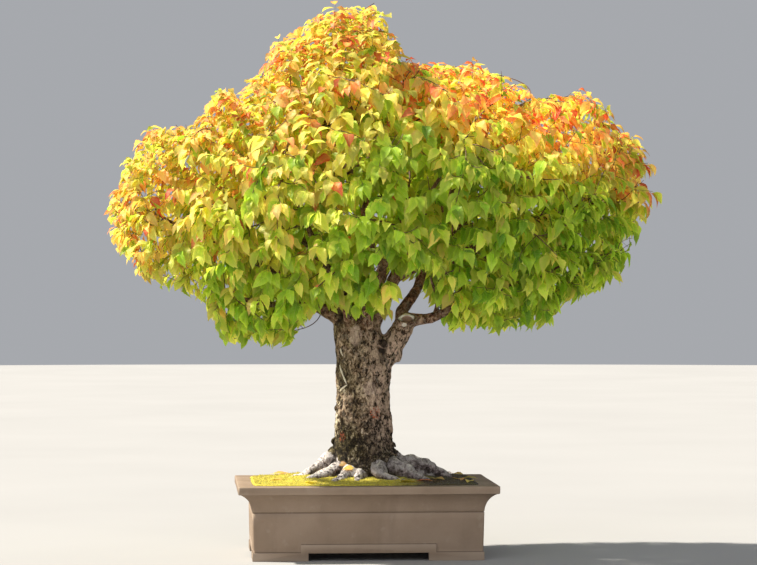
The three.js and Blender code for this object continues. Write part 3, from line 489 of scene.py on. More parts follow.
class Channel:
    """A number, colour or vector that a node puts out, and what can be made of it."""

    def __init__(self, paint, socket):
        self.paint, self.socket = paint, socket

    def math(self, operation, other=0.0, clamp=False):
        return self.paint.add("ShaderNodeMath", {0: self, 1: other}, operation=operation, use_clamp=clamp)

    __abs__ = partialmethod(math, "ABSOLUTE")
    __add__ = partialmethod(math, "ADD")
    __sub__ = partialmethod(math, "SUBTRACT")
    __mul__ = partialmethod(math, "MULTIPLY")
    __pow__ = partialmethod(math, "POWER")
    __lt__ = partialmethod(math, "LESS_THAN")
    __gt__ = partialmethod(math, "GREATER_THAN")
    __or__ = partialmethod(math, "MAXIMUM")

    def __rsub__(self, other):
        return self.paint.add("ShaderNodeMath", {0: other, 1: self}, operation="SUBTRACT")

    def vector(self, operation, other=(0, 0, 0), output="Vector"):
        return self.paint.add("ShaderNodeVectorMath", {0: self, 1: other}, output, operation=operation)

    def parts(self, kind="XYZ"):
        first = self.paint.add("ShaderNodeSeparate" + kind, {0: self})
        return [Channel(self.paint, socket) for socket in first.socket.node.outputs]

    def span(self, low, high, to_low=0.0, to_high=1.0):
        """An even turn from to_low to to_high while this goes from low to high."""
        inputs = {"Value": self, "From Min": low, "From Max": high, "To Min": to_low, "To Max": to_high}
        return self.paint.add("ShaderNodeMapRange", inputs, interpolation_type="SMOOTHSTEP")

    def ramp(self, *stops):
        """Colours along this number. Each stop is its place, red, green and blue."""
        result = self.paint.add("ShaderNodeValToRGB", {"Fac": self})
        elements = result.socket.node.color_ramp.elements
        while len(elements) < len(stops):
            elements.new(0.5)
        for element, (place, *colour) in zip(elements, stops):
            element.position = place
            element.color = (*colour, 1)
        return result

    def mix(self, share, other, blend="MIX"):
        """This colour with a share of another."""
        inputs = {0: share, 6: self, 7: other}  # the node's sockets for colours
        return self.paint.add("ShaderNodeMix", inputs, 2, data_type="RGBA", blend_type=blend)

    def relief(self, distance):
        inputs = {"Height": self, "Distance": distance, "Strength": 1.0}
        return self.paint.add("ShaderNodeBump", inputs, "Normal")


class Paint:
    """A node material that is written from its coordinates to the shader."""

    def __init__(self, name):
        self.material = bpy.data.materials.new(name)
        self.material.use_nodes = True
        self.tree = self.material.node_tree
        self.tree.nodes.clear()
        self.place = self.add("ShaderNodeTexCoord", output="Object")

    def add(self, kind, inputs=None, output=0, **settings):
        """Adds a node and gives one of its outputs."""
        node = self.tree.nodes.new(kind)
        for key, value in settings.items():
            setattr(node, key, value)
        for key, value in (inputs or {}).items():
            socket = node.inputs[key]
            if isinstance(value, Channel):
                self.tree.links.new(value.socket, socket)
            else:
                socket.default_value = (*value, 1) if socket.type == "RGBA" else value
        return Channel(self, node.outputs[output])

    def noise(self, scale, detail=4.0, vector=None, distortion=0.0, roughness=0.55, output="Fac"):
        inputs = {"Vector": vector or self.place, "Scale": scale, "Detail": detail}
        inputs |= {"Distortion": distortion, "Roughness": roughness}
        return self.add("ShaderNodeTexNoise", inputs, output)

    def cells(self, scale, vector=None, feature="F1", output="Distance"):
        inputs = {"Vector": vector or self.place, "Scale": scale}
        return self.add("ShaderNodeTexVoronoi", inputs, output, feature=feature)

    def flakes(self, scale, vector=None):
        """A number for each cell."""
        return self.cells(scale, vector, output="Color").parts("Color")[0]

    def value(self, name):
        return self.add("ShaderNodeAttribute", output="Fac", attribute_name=name)

    def spot(self, middle, radii, wobble=0.25):
        """1 near a place on the part, 0 away from it, with a ragged edge."""
        offset = self.place.vector("SUBTRACT", tuple((np.array(middle) + POT_MIDDLE) * MM))
        scaled = offset.vector("MULTIPLY", tuple(1 / (r * MM) for r in radii))
        length = scaled.vector("LENGTH", output="Value")
        return (length + self.noise(90, 3) * (2 * wobble)).span(1 + wobble * 1.2, 0.75 + wobble * 0.8)

    def surface(self, colour, roughness, normal=None, gloss=0.5, **constants):
        inputs = {"Base Color": colour, "Roughness": roughness, "Specular IOR Level": gloss} | constants
        if normal:
            inputs["Normal"] = normal
        return self.add("ShaderNodeBsdfPrincipled", inputs)

    def finish(self, shader):
        output = self.tree.nodes.new("ShaderNodeOutputMaterial")
        self.tree.links.new(shader.socket, output.inputs["Surface"])
        return self.material


def leaf_material():
    """A thin leaf that glows with the light behind it, from green through yellow to orange and red."""
    paint = Paint("zelkova leaf")
    across, along, _ = paint.add("ShaderNodeUVMap", uv_map="blade").parts()
    aside = abs(across - 0.5) * 2
    # The colour turns at the edge and the tip first
    blotch = (paint.noise(60, 3) - 0.5) * 0.22
    turned = paint.value("ripe") + aside**2.5 * 0.16 + along**3 * 0.10 + blotch
    colour = turned.ramp(
        (0, 0.14, 0.32, 0.02), (0.2, 0.31, 0.545, 0.04), (0.4, 0.57, 0.75, 0.07), (0.58, 0.9, 0.84, 0.17),
        (0.73, 0.97, 0.65, 0.19), (0.86, 0.97, 0.39, 0.15), (1, 0.82, 0.12, 0.07),
    )
    # Midrib and side veins, which run forward to the teeth
    wave = ((along - aside * 0.16) * TEETH[1]).math("FRACT")
    vein = aside.span(0.075, 0.02) | abs(wave - 0.5).span(0.10, 0.02) * 0.6
    colour = colour.mix(vein * 0.22, (0.74, 0.72, 0.30))
    # The tone brightens or darkens each leaf at random, and also carries the painted sunlight at the top
    # right
    inputs = {0: paint.value("tone"), 1: 0.7, 2: 0.62}
    brightness = paint.add("ShaderNodeMath", inputs, operation="MULTIPLY_ADD")
    grey = paint.add("ShaderNodeCombineColor", dict.fromkeys(("Red", "Green", "Blue"), brightness))
    colour = colour.mix(1.0, grey, "MULTIPLY")
    freckles = paint.noise(420, 2).span(0.66, 0.74)
    colour = colour.mix(freckles * 0.4, (0.22, 0.10, 0.03))
    normal = (paint.noise(500, 2) - vein).relief(0.0004)
    face = paint.surface(colour, paint.noise(150, 2).span(0.2, 0.8, 0.38, 0.56), normal, 0.36)
    glow = colour.mix(1.0, (1.0, 1.0, 0.7), "MULTIPLY")
    behind = paint.add("ShaderNodeBsdfTranslucent", {"Color": glow, "Normal": normal})
    return paint.finish(paint.add("ShaderNodeMixShader", {0: 0.55, 1: face, 2: behind}))


def bark_material():
    """Flaking grey-brown bark, dark and mottled low on the trunk, pale on the roots, partly as painted
    sunlight, redder on the limbs.
    """
    paint = Paint("zelkova bark")
    side, _, height = paint.place.parts()
    tall = paint.place.vector("MULTIPLY", (1, 1, 0.7))
    fine = paint.noise(150, 7, tall, 0.7, 0.66) + (paint.noise(52, 4, tall, 0.5) - 0.5) * 0.45
    shift = paint.noise(90, 3, roughness=0.5, output="Color").vector("MULTIPLY", (0.012, 0.012, 0.012))
    flake = paint.flakes(260, tall.vector("ADD", shift))
    trunk = fine.ramp(
        (0.38, 0.010, 0.006, 0.003), (0.46, 0.086, 0.051, 0.029), (0.545, 0.320, 0.213, 0.141),
        (0.63, 0.710, 0.542, 0.398),
    )
    low = fine.ramp(
        (0.41, 0.004, 0.002, 0.001), (0.51, 0.024, 0.014, 0.008), (0.59, 0.094, 0.063, 0.039),
        (0.68, 0.620, 0.530, 0.420),
    )
    bleached_and_sunlit = fine.ramp(
        (0.35, 0.090, 0.075, 0.070), (0.45, 0.440, 0.390, 0.385), (0.54, 0.730, 0.680, 0.670),
        (0.66, 0.890, 0.850, 0.840),
    )
    stained_and_shaded = fine.ramp(
        (0.34, 0.036, 0.024, 0.021), (0.46, 0.130, 0.100, 0.095), (0.58, 0.290, 0.240, 0.235),
        (0.70, 0.480, 0.415, 0.405),
    )
    limb = fine.ramp(
        (0.32, 0.026, 0.011, 0.007), (0.46, 0.165, 0.078, 0.048), (0.58, 0.360, 0.190, 0.125),
        (0.72, 0.540, 0.390, 0.295),
    )
    mossy = fine.ramp(
        (0.42, 0.014, 0.010, 0.004), (0.52, 0.085, 0.068, 0.028), (0.60, 0.190, 0.155, 0.070),
        (0.70, 0.420, 0.360, 0.200),
    )
    sun_dapple_paint = fine.ramp(
        (0.47, 0.050, 0.032, 0.016), (0.52, 0.400, 0.310, 0.190), (0.58, 0.880, 0.790, 0.600),
    )
    healed_skin = fine.ramp(
        (0.36, 0.220, 0.145, 0.110), (0.50, 0.460, 0.340, 0.265), (0.66, 0.620, 0.490, 0.400),
    )
    ragged = height + paint.noise(28, 3) * 0.06
    uneven = paint.noise(80, 5) - 0.5
    on_root = (paint.value("root") + uneven * 1.6).span(0.40, 0.75)
    above_roots = 1 - on_root
    colour = trunk.mix(ragged.span(0.34, 0.27), low).mix(ragged.span(0.47, 0.56), limb)
    pale_flake = flake.span(0.62, 0.9, 0.0, 0.4) * above_roots * ragged.span(0.28, 0.36, 0.25, 1.0)
    colour = colour.mix(pale_flake, (0.44, 0.36, 0.28))
    tan = side.span(-0.038, 0.004, 0.0, 0.85) * ragged.span(0.22, 0.31) * ragged.span(0.56, 0.47)
    colour = colour.mix(tan * fine.span(0.42, 0.56), (0.58, 0.415, 0.32))
    broad = paint.noise(16, 5, distortion=0.4)
    olive = broad.span(0.42, 0.58, 0.1, 0.7) * side.span(-0.02, -0.07, 0.3, 1.0) * above_roots
    colour = colour.mix(olive, mossy)
    # Roots are paler on top and darker on their sides: partly bleaching and damp, partly painted sunlight and
    # painted shade
    top = paint.value("upward") + uneven * 0.5
    # Painted shade on the tops of the middle and right-hand roots
    bleached_and_sunlit = bleached_and_sunlit.mix(side.span(-0.04, -0.01, 0.0, 0.6), (0.150, 0.130, 0.125))
    root = stained_and_shaded.mix(top.span(0.42, 0.80), bleached_and_sunlit)
    # A near-white painted highlight on the very tops of the roots, where the sun strikes them
    root = root.mix(top.span(0.86, 1.02) * fine.span(0.44, 0.54), (0.860, 0.800, 0.700))
    colour = colour.mix(on_root, root)
    # Painted sun dapples: pale patches on the trunk's left side, in the colour of inner bark
    plates = ((-56, -16, 276), (13, 34, 30)), ((-56, -16, 322), (9, 30, 11)), ((-52, -22, 352), (14, 28, 12))
    first, second, third = (paint.spot(middle, radii, 0.5) for middle, radii in plates)
    colour = colour.mix((first | (second | third)) * 0.8, sun_dapple_paint)
    # A smooth healed patch and a round scar
    healed = paint.spot((-20, -50, 464), (15, 30, 24)) | paint.spot((9, -54, 352), (15, 30, 17))
    colour = colour.mix(healed * 0.8, healed_skin)
    # A dark burl, with a stain below it, and tufts of orange lichen
    stain = paint.spot((36, -44, 424), (10, 24, 20), 0.5)
    colour = colour.mix(stain * 0.55, (0.040, 0.022, 0.015))
    burl = paint.spot((40, -42, 451), (11, 20, 14), 0.5)
    colour = colour.mix(burl * 0.9, (0.022, 0.012, 0.008))
    lichen = paint.noise(260, 3).span(0.50, 0.56)
    for middle, radii in (((23, -52, 300), (15, 20, 15)), ((-46, -32, 250), (9, 18, 14))):
        colour = colour.mix(paint.spot(middle, radii, 0.4) * lichen, (0.46, 0.11, 0.055))
    # Painted shade in the creases and the folds between roots, and dark cracks between the plates
    colour = colour.mix(paint.value("hollow").span(0.52, 0.78, 0.0, 0.92), (0.018, 0.012, 0.009))
    crack = paint.cells(100, tall, "DISTANCE_TO_EDGE").span(0.0, 0.05)
    colour = colour.mix((1 - crack) * ((1 - healed) * 0.3), (0.02, 0.013, 0.008))
    # The pruning wound: its pit, its lip above painted near white as painted sunlight, a painted highlight
    # below it, and the edges of peeling plates, pale partly as painted sunlight
    hollow = paint.spot(WOUND + 2 * WOUND_AXIS, (WOUND_HALF[0] - 3, 14, WOUND_HALF[1] - 1), 0.1)
    colour = colour.mix(hollow * 0.85, (0.400, 0.250, 0.185))
    # Painted sunlight on the wound's lip
    sunlit_lip = paint.spot(WOUND + (-2, 0, 6), (WOUND_HALF[0] + 3, 16, WOUND_HALF[1] + 3), 0.12)
    colour = colour.mix(sunlit_lip.math("SUBTRACT", hollow, True), (0.96, 0.92, 0.86))
    # A painted highlight below the wound, where the sun strikes it
    colour = colour.mix(paint.spot(WOUND - (6, 0, 11), (6, 14, 5), 0.2), (0.820, 0.760, 0.680))
    # The edges of peeling plates are pale, and painted brighter as painted sunlight
    colour = colour.mix(paint.value("peel"), (0.90, 0.82, 0.66))
    normal = (fine + flake * 0.35 + crack * 0.3).relief(0.0036)
    return paint.finish(paint.surface(colour, 0.88, normal, 0.25))


def twig_material():
    """Smooth red-brown bark of the young shoots, with pale dots."""
    paint = Paint("zelkova twig")
    colour = paint.noise(120, 4).ramp(
        (0.3, 0.060, 0.030, 0.018), (0.55, 0.150, 0.082, 0.045), (0.75, 0.240, 0.150, 0.080),
    )
    colour = colour.mix(paint.cells(700).span(0.16, 0.08) * 0.5, (0.45, 0.36, 0.26))
    return paint.finish(paint.surface(colour, 0.7, paint.noise(350, 4).relief(0.0004)))


def moss_material():
    """Moss, painted yellow-green as sunlit on the left, and painted dark and brown as shaded to the right."""
    paint = Paint("moss")
    shift = paint.place.parts()[0] + paint.noise(14, 4) * 0.22
    tips = paint.noise(380, 5, roughness=0.7)
    sunny = tips.ramp(
        (0.30, 0.110, 0.085, 0.010), (0.44, 0.420, 0.350, 0.018), (0.58, 0.700, 0.600, 0.035),
        (0.74, 0.860, 0.780, 0.140),
    )
    shady = tips.ramp(
        (0.30, 0.007, 0.005, 0.002), (0.46, 0.034, 0.023, 0.006), (0.62, 0.090, 0.064, 0.014),
        (0.78, 0.230, 0.140, 0.048),
    )
    clumps = paint.noise(60, 5, distortion=0.8)
    # Painted sunlight on the left, painted shade to the right
    colour = sunny.mix(shift.span(0.12, 0.21), shady)
    colour = colour.mix(clumps.span(0.54, 0.68, 0.0, 0.6), (0.20, 0.115, 0.035))
    colour = colour.mix(clumps.span(0.42, 0.30, 0.0, 0.5), (0.22, 0.28, 0.02))
    normal = (tips + paint.noise(900, 3)).relief(0.0016)
    return paint.finish(paint.surface(colour, 0.95, normal, **{"Sheen Weight": 0.1, "Sheen Roughness": 0.6}))


def soil_material():
    """Moist potting soil of brown grains, with a few pale ones."""
    paint = Paint("potting soil")
    colour = paint.flakes(330).ramp(
        (0.0, 0.022, 0.014, 0.009), (0.45, 0.070, 0.045, 0.027), (0.8, 0.150, 0.095, 0.055),
        (0.95, 0.330, 0.260, 0.190),
    )
    damp = paint.noise(25, 4)
    colour = colour.mix(damp.span(0.4, 0.7, 0.0, 0.5), (0.020, 0.013, 0.008))
    normal = (paint.noise(700, 4) - paint.cells(330)).relief(0.0016)
    return paint.finish(paint.surface(colour, damp.span(0.4, 0.7, 0.95, 0.7), normal))


# Mask for the painted shade where the band meets the wall
def band_line(paint, height):
    """1 along the top edge of the band round the feet, which is higher over the apron."""
    x, y, _ = paint.place.parts()
    x, y = abs(x - float(POT_MIDDLE[0] * MM)), abs(y)
    front = y > (LIP_HALF[1] - FOOT_INSET - 4) * MM
    on_apron = front * (x < APRON_HALF[0] * MM) + (1 - front) * (y < APRON_HALF[1] * MM)
    top = on_apron * ((APRON_TOP - BAND_TOP) * MM) + (BAND_TOP + 0.5) * MM
    return abs(height - top).span(0.0016, 0.0005)


def clay_material():
    """Unglazed buff clay, weathered darker in the groove, with pale scale on its edges."""
    paint = Paint("buff clay")
    height = paint.place.parts()[2]
    clouds = paint.noise(9, 5, distortion=0.5)
    streaks = paint.noise(22, 4, paint.place.vector("MULTIPLY", (1, 1, 0.16)))
    colour = clouds.ramp(
        (0.30, 0.215, 0.155, 0.108), (0.50, 0.250, 0.182, 0.130), (0.70, 0.278, 0.206, 0.150),
    )
    groove = abs(height - (SHOULDER - GROOVE) * MM).span(0.0022, 0.0008)
    foot = (height + streaks * 0.02).span(0.030, 0.008, 0.0, 0.3)
    bare = paint.add("ShaderNodeNewGeometry", output="Pointiness").span(0.515, 0.56, 0.0, 0.5)
    for share, tint in (
        (streaks.span(0.50, 0.72, 0.0, 0.28), (0.170, 0.120, 0.084)),
        (paint.cells(520).span(0.13, 0.07) * 0.55, (0.110, 0.074, 0.050)),
        (groove * 0.5, (0.090, 0.062, 0.043)),
        # painted shade along the top edge of the band
        (band_line(paint, height) * 0.6, (0.075, 0.052, 0.036)),
        (foot, (0.170, 0.126, 0.092)),
        (bare, (0.400, 0.320, 0.250)),
        (paint.noise(48, 6).span(0.58, 0.74, 0.0, 0.22), (0.370, 0.310, 0.250)),
    ):
        colour = colour.mix(share, tint)
    normal = (paint.noise(900, 3) * 0.5 + paint.noise(160, 4)).relief(0.0005)
    return paint.finish(paint.surface(colour, clouds.span(0.3, 0.7, 0.86, 0.68), normal, 0.3))


def screen_material():
    """Black plastic mesh, dusty with clay."""
    paint = Paint("drain mesh")
    dust = paint.noise(300, 5).span(0.45, 0.7)
    colour = dust.ramp((0, 0.012, 0.012, 0.012), (1, 0.090, 0.070, 0.050))
    normal = paint.noise(1200, 2).relief(0.0002)
    return paint.finish(paint.surface(colour, dust.span(0.0, 1.0, 0.4, 0.85), normal))


def floor_material():
    paint = Paint("pale floor")
    colour = paint.noise(1.2, 2).ramp((0.3, 0.33, 0.33, 0.335), (0.7, 0.35, 0.35, 0.355))
    return paint.finish(paint.surface(colour, 0.9))


# Wood

SKIN_CELL = 2.6  # width of a face of the trunk, the roots and the thick limbs
THICK = 7.0  # radius down to which a limb is part of that skin
TRUNK_SIDES = 96
ROOT_REACH = 76  # distance from the trunk's axis beyond which wood near the ground is root
# From left to right, how low the dark bark reaches before it gives way to root
ROOT_TOPS = (-70, -35, 15, 60), (226, 200, 184, 206)


def trunk_shape():
    rows = smooth_rod(TRUNK, 4)
    angle = 2 * np.pi * np.arange(TRUNK_SIDES) / TRUNK_SIDES
    z, x, half_width, half_depth = rows.T[:, :, None]
    # Low down the trunk is fluted
    flute = 0.07 * np.clip(1 - (z - 150) / 200, 0.12, 1)
    swell = 1 + flute * (np.sin(5 * angle + z / 160) + 0.5 * np.sin(3 * angle + 1.3))
    across = x + half_width * swell * np.cos(angle)
    points = np.stack([across, half_depth * swell * np.sin(angle), z + 0 * swell], axis=2)
    return points.reshape(-1, 3), ring_faces(len(rows), TRUNK_SIDES)


def callus_ring():
    """The swollen lip round the pruning wound."""
    across = unit(np.cross(WOUND_AXIS, UP))
    other = np.cross(WOUND_AXIS, across)
    angles = np.linspace(0, 2 * np.pi, 33)[:, None]
    circle = WOUND + WOUND_HALF[0] * np.cos(angles) * across + WOUND_HALF[1] * np.sin(angles) * other
    radius = 3.4 + 0.7 * np.sin(3 * angles)
    return np.hstack([circle, radius])


def split_limb(rod):
    """The thick part of a limb, and the thin part that runs on from inside it."""
    thick = int(np.argmax(rod[:, 3] < THICK))
    return rod[: thick + 1], rod[max(thick - 3, 0) :]


def wood_skin(limb_rods, root_rods):
    """One skin over the trunk, roots and thick limbs, with lumps, furrows and plates of bark."""
    rough_wood = Shape(trunk_shape(), *(tube(rod, 20) for rod in limb_rods + root_rods))
    points, skin = with_modifier(draft(rough_wood), "REMESH", mode="VOXEL", voxel_size=SKIN_CELL)
    rows = np.vstack(root_rods + limb_rods + [smooth_rod([(x, 0, z, w) for z, x, w, _ in TRUNK], 10)])
    tree = search_tree(rows[:, :3])
    nearest = np.array([tree.find(p)[1] for p in points])
    radius = rows[nearest, 3]
    points = relaxed(skin, points, np.clip(radius / 24, 0.25, 0.6), 7)
    faces = faces_of(skin)
    normals = normals_of(points, faces)
    trunk = smooth(12, 40, radius)
    in_root_rod = nearest < sum(len(rod) for rod in root_rods)
    beside_trunk = np.hypot(points[:, 0] - TRUNK[0][1], points[:, 1]) > ROOT_REACH
    bark_end = np.interp(points[:, 0], *ROOT_TOPS)
    root = np.maximum(smooth(bark_end, bark_end - 26, points[:, 2]), beside_trunk & in_root_rod)
    root = relaxed(skin, root[:, None], 0.5, 8)[:, 0]
    low = smooth(330, 240, points[:, 2]) * (1 - root)
    upright = points * (1, 1, 0.32)
    slanted = points * (1, 1, 0.7)
    # The relief of the bark. The first number after the points is the width of a bump.
    lumps = 3.2 * trunk * rough(points, 48, 3, 11) + 1.1 * (1 - trunk) * rough(points, 22, 2, 12)
    knobs = 2.6 * root * rough(points, 18, 2, 17)
    furrows = -(1.5 * trunk + 0.3) * (1 - np.abs(rough(upright, 9, 2, 13))) ** 3
    plates = (0.5 + 0.7 * trunk + 0.7 * low) * smooth(0.02, 0.3, rough(slanted, 8, 3, 14))
    crumbs = (0.35 + 0.8 * low + 0.4 * trunk) * rough(points, 5.2, 2, 15)
    creases = -2.6 * root * (1 - np.abs(rough(points * (0.6, 0.6, 1), 26, 2, 16))) ** 4
    away = (points - WOUND) / (WOUND_HALF[0] - 2, 14, WOUND_HALF[1] - 1)
    wound = -4 * smooth(1, 0.3, np.linalg.norm(away, axis=1))
    height = lumps + knobs + (1 - 0.4 * root) * (furrows + plates) + crumbs + creases + wound
    points = points + normals * height[:, None]
    # What lies below the skin, once that is smoothed a little and a lot, is hollow
    near = relaxed(skin, points, 0.5, 12)
    wide = relaxed(skin, near, 0.5, 60)
    hollow = np.sum((near - points) * normals, axis=1) / 6 + np.sum((wide - near) * normals, axis=1) / 18
    # How much the skin faces up, by which the bark paints root tops paler, partly as painted sunlight
    upward = relaxed(skin, normals_of(points, faces)[:, 2:], 0.5, 4)[:, 0]
    # The bark paints hollow places darker by this, as painted shade
    wood = Shape()
    wood.add(points, faces, root=root, hollow=np.clip(0.5 + hollow, 0, 1), upward=0.5 + 0.5 * upward)
    return wood


# Bark that peels off: x and z of the edges of plates on the trunk's front, pale and partly painted sunlight,
# and x, y, z and radius of dark scales that stand off its sides
PEELED = [
    [(-52, 401), (-50, 391), (-46, 380), (-42, 369), (-39, 362)],
    [(-38, 360), (-44, 355), (-49, 350), (-52, 345)],
    [(-51, 436), (-49, 428), (-46, 420)],
]
LOOSE = [
    [(-55, -8, 318, 2), (-60, -9, 311, 3), (-60, -9, 305, 2.4), (-56, -8, 300, 1)],
    [(50, -10, 290, 1), (57, -12, 276, 2.4), (59, -12, 262, 2.6), (58, -12, 250, 1)],
    [(54, -14, 240, 2), (63, -16, 233, 3), (66, -16, 227, 1.4)],
    [(-58, -10, 250, 2), (-66, -10, 242, 3), (-67, -10, 236, 2.4), (-62, -9, 230, 1)],
]


def add_loose_bark(wood):
    """Adds the edges of plates of bark that peel off the trunk."""
    skin = wood.tree()
    for path in PEELED:
        rows = []
        for i, (x, z) in enumerate(path):
            hit, normal, _, _ = skin.ray_cast((x, -300, z), (0, 1, 0))
            radius = 1.9 if 0 < i < len(path) - 1 else 0.9
            rows.append([*(np.array(hit) + 0.8 * np.array(normal)), radius])
        wood.add(*tube(smooth_rod(rows, 4), 6, 0.3), peel=1.0, hollow=0.5)
    for path in LOOSE:
        wood.add(*tube(smooth_rod(path, 4), 6, 0.3), hollow=0.5)


# The branching of the crown


def outline_distance(start, direction):
    """How far it is from points in the front view to the crown's outline, each in its own direction."""
    edge = np.roll(CROWN_OUTLINE, -1, axis=0) - CROWN_OUTLINE
    to_a = CROWN_OUTLINE - np.atleast_2d(start)[:, None, :]
    d = np.atleast_2d(direction)[:, None, :]
    cross = d[..., 0] * edge[:, 1] - d[..., 1] * edge[:, 0]
    cross = np.where(np.abs(cross) < 1e-9, 1e-9, cross)
    distance = (to_a[..., 0] * edge[:, 1] - to_a[..., 1] * edge[:, 0]) / cross
    along = (to_a[..., 0] * d[..., 1] - to_a[..., 1] * d[..., 0]) / cross
    return np.where((distance > 0) & (along >= 0) & (along <= 1), distance, 0).max(axis=1)


def crown_points(directions, share):
    """Points a share of the way from the crown's middle to its surface."""
    front = directions[:, [0, 2]]
    flat = np.linalg.norm(front, axis=1)
    reach = outline_distance(CROWN_MIDDLE[[0, 2]], front / flat[:, None])
    radius = 1 / np.hypot(flat / reach, directions[:, 1] / CROWN_HALF_DEPTH)
    return CROWN_MIDDLE + directions * (radius * share)[:, None]


def in_column(p, column):
    x, radius, top = column
    return (np.hypot(p[:, 0] - x, p[:, 1]) < radius) & (p[:, 2] < top)


def no_spray(p):
    left, right, top = WINDOW
    return in_column(p, TRUNK_ROOM) | (p[:, 0] > left) & (p[:, 0] < right) & (p[:, 2] < top)


def no_leaf(p):
    barred = in_column(p, LEAFLESS)
    for left, right, bottom, top in GAPS:
        barred |= (p[:, 0] > left) & (p[:, 0] < right) & (p[:, 2] > bottom) & (p[:, 2] < top)
    return barred


def spread(count, share, key, given=(), barred=no_spray):
    """Points spread evenly over the crown: each is the candidate that lies furthest from all before it."""
    points = [np.array(p, float) for p in given]
    k = np.arange(CANDIDATES)
    for i in range(len(points), count):
        z = 2 * draw(key, i, k, 1) - 1
        angle = 2 * np.pi * draw(key, i, k, 2)
        flat = np.sqrt(1 - z * z)
        choice = crown_points(rows_of(flat * np.cos(angle), flat * np.sin(angle), z), share)
        choice = choice[~barred(choice)]
        if len(choice):
            gaps = [np.linalg.norm(choice - point, axis=1) for point in points] or [0 * choice[:, 0]]
            points.append(choice[np.argmax(np.min(gaps, axis=0))])
    return points


def corner_tips():
    """Twig tips at the corners of the outline, clear of the shoots."""
    i = np.arange(len(CROWN_OUTLINE))
    corners = np.insert(CROWN_OUTLINE, 1, 0, axis=1)
    out = unit(corners - CROWN_MIDDLE)
    inset = CORNER_INSET + LEAF_DROP * np.maximum(0, -out[:, 2])
    tips = corners - out * inset[:, None]
    tips[:, 1] = CORNER_HALF_DEPTH * (2 * draw(26, i) - 1)
    shoots = np.array(SHOOTS)
    clear = np.hypot(tips[:, None, 0] - shoots[:, 0], tips[:, None, 2] - shoots[:, 2]).min(axis=1)
    return list(tips[(clear > CORNER_CLEAR) & ~no_spray(tips)])


def rim_tips():
    """Tips along the crown's outline, so that its bumps are full of leaves."""
    tips = []
    for a, b in zip(CROWN_OUTLINE, np.roll(CROWN_OUTLINE, -1, axis=0)):
        way = b - a
        length = np.linalg.norm(way)
        inward = np.array([way[1], -way[0]]) / length
        steps = max(1, round(length / RIM_STEP))
        for row in RIM_INSETS:
            for step in range(steps):
                key = len(tips)
                inset = row + RIM_SPREAD * draw(25, key) + LEAF_DROP * max(0, inward[1])
                x, z = a + way * (step + 0.5) / steps + inset * inward
                tips.append(np.array([x, RIM_HALF_DEPTH * (2 * draw(26, key) - 1), z]))
    return tips


def bend_rod(a, b, c, start_radius, end_radius, steps):
    """A rod along the quadratic curve from a to c that leaves a towards b."""
    t = np.linspace(0, 1, steps + 1)[:, None]
    line = (1 - t) ** 2 * a + 2 * t * (1 - t) * b + t**2 * c
    return np.hstack([line, start_radius + (end_radius - start_radius) * t])


def rod_length(rod):
    return np.linalg.norm(np.diff(rod[:, :3], axis=0), axis=1).sum()


def fork_places(rod, first):
    """Rows of x, y, z, direction and radius where a branch may leave a rod."""
    total = rod_length(rod)
    passed = 0.0
    rows = []
    for a, b in zip(rod, rod[1:]):
        way = (b - a)[:3]
        length = np.linalg.norm(way)
        for share in (0, 0.5):
            if (passed + share * length) / total >= first:
                middle = a + share * (b - a)
                rows.append([*middle[:3], *(way / length), middle[3]])
        passed += length
    return rows


def turn_cost(ways, directions, weight):
    """Lengths of ways, more for those that turn away from their directions."""
    length = np.linalg.norm(ways, axis=-1)
    cosine = np.einsum("...i,...i", ways, directions) / np.maximum(length, 1e-9)
    return length * (1 + weight * (1 - cosine))


def end_direction(rod):
    return unit(rod[-1, :3] - rod[-2, :3])


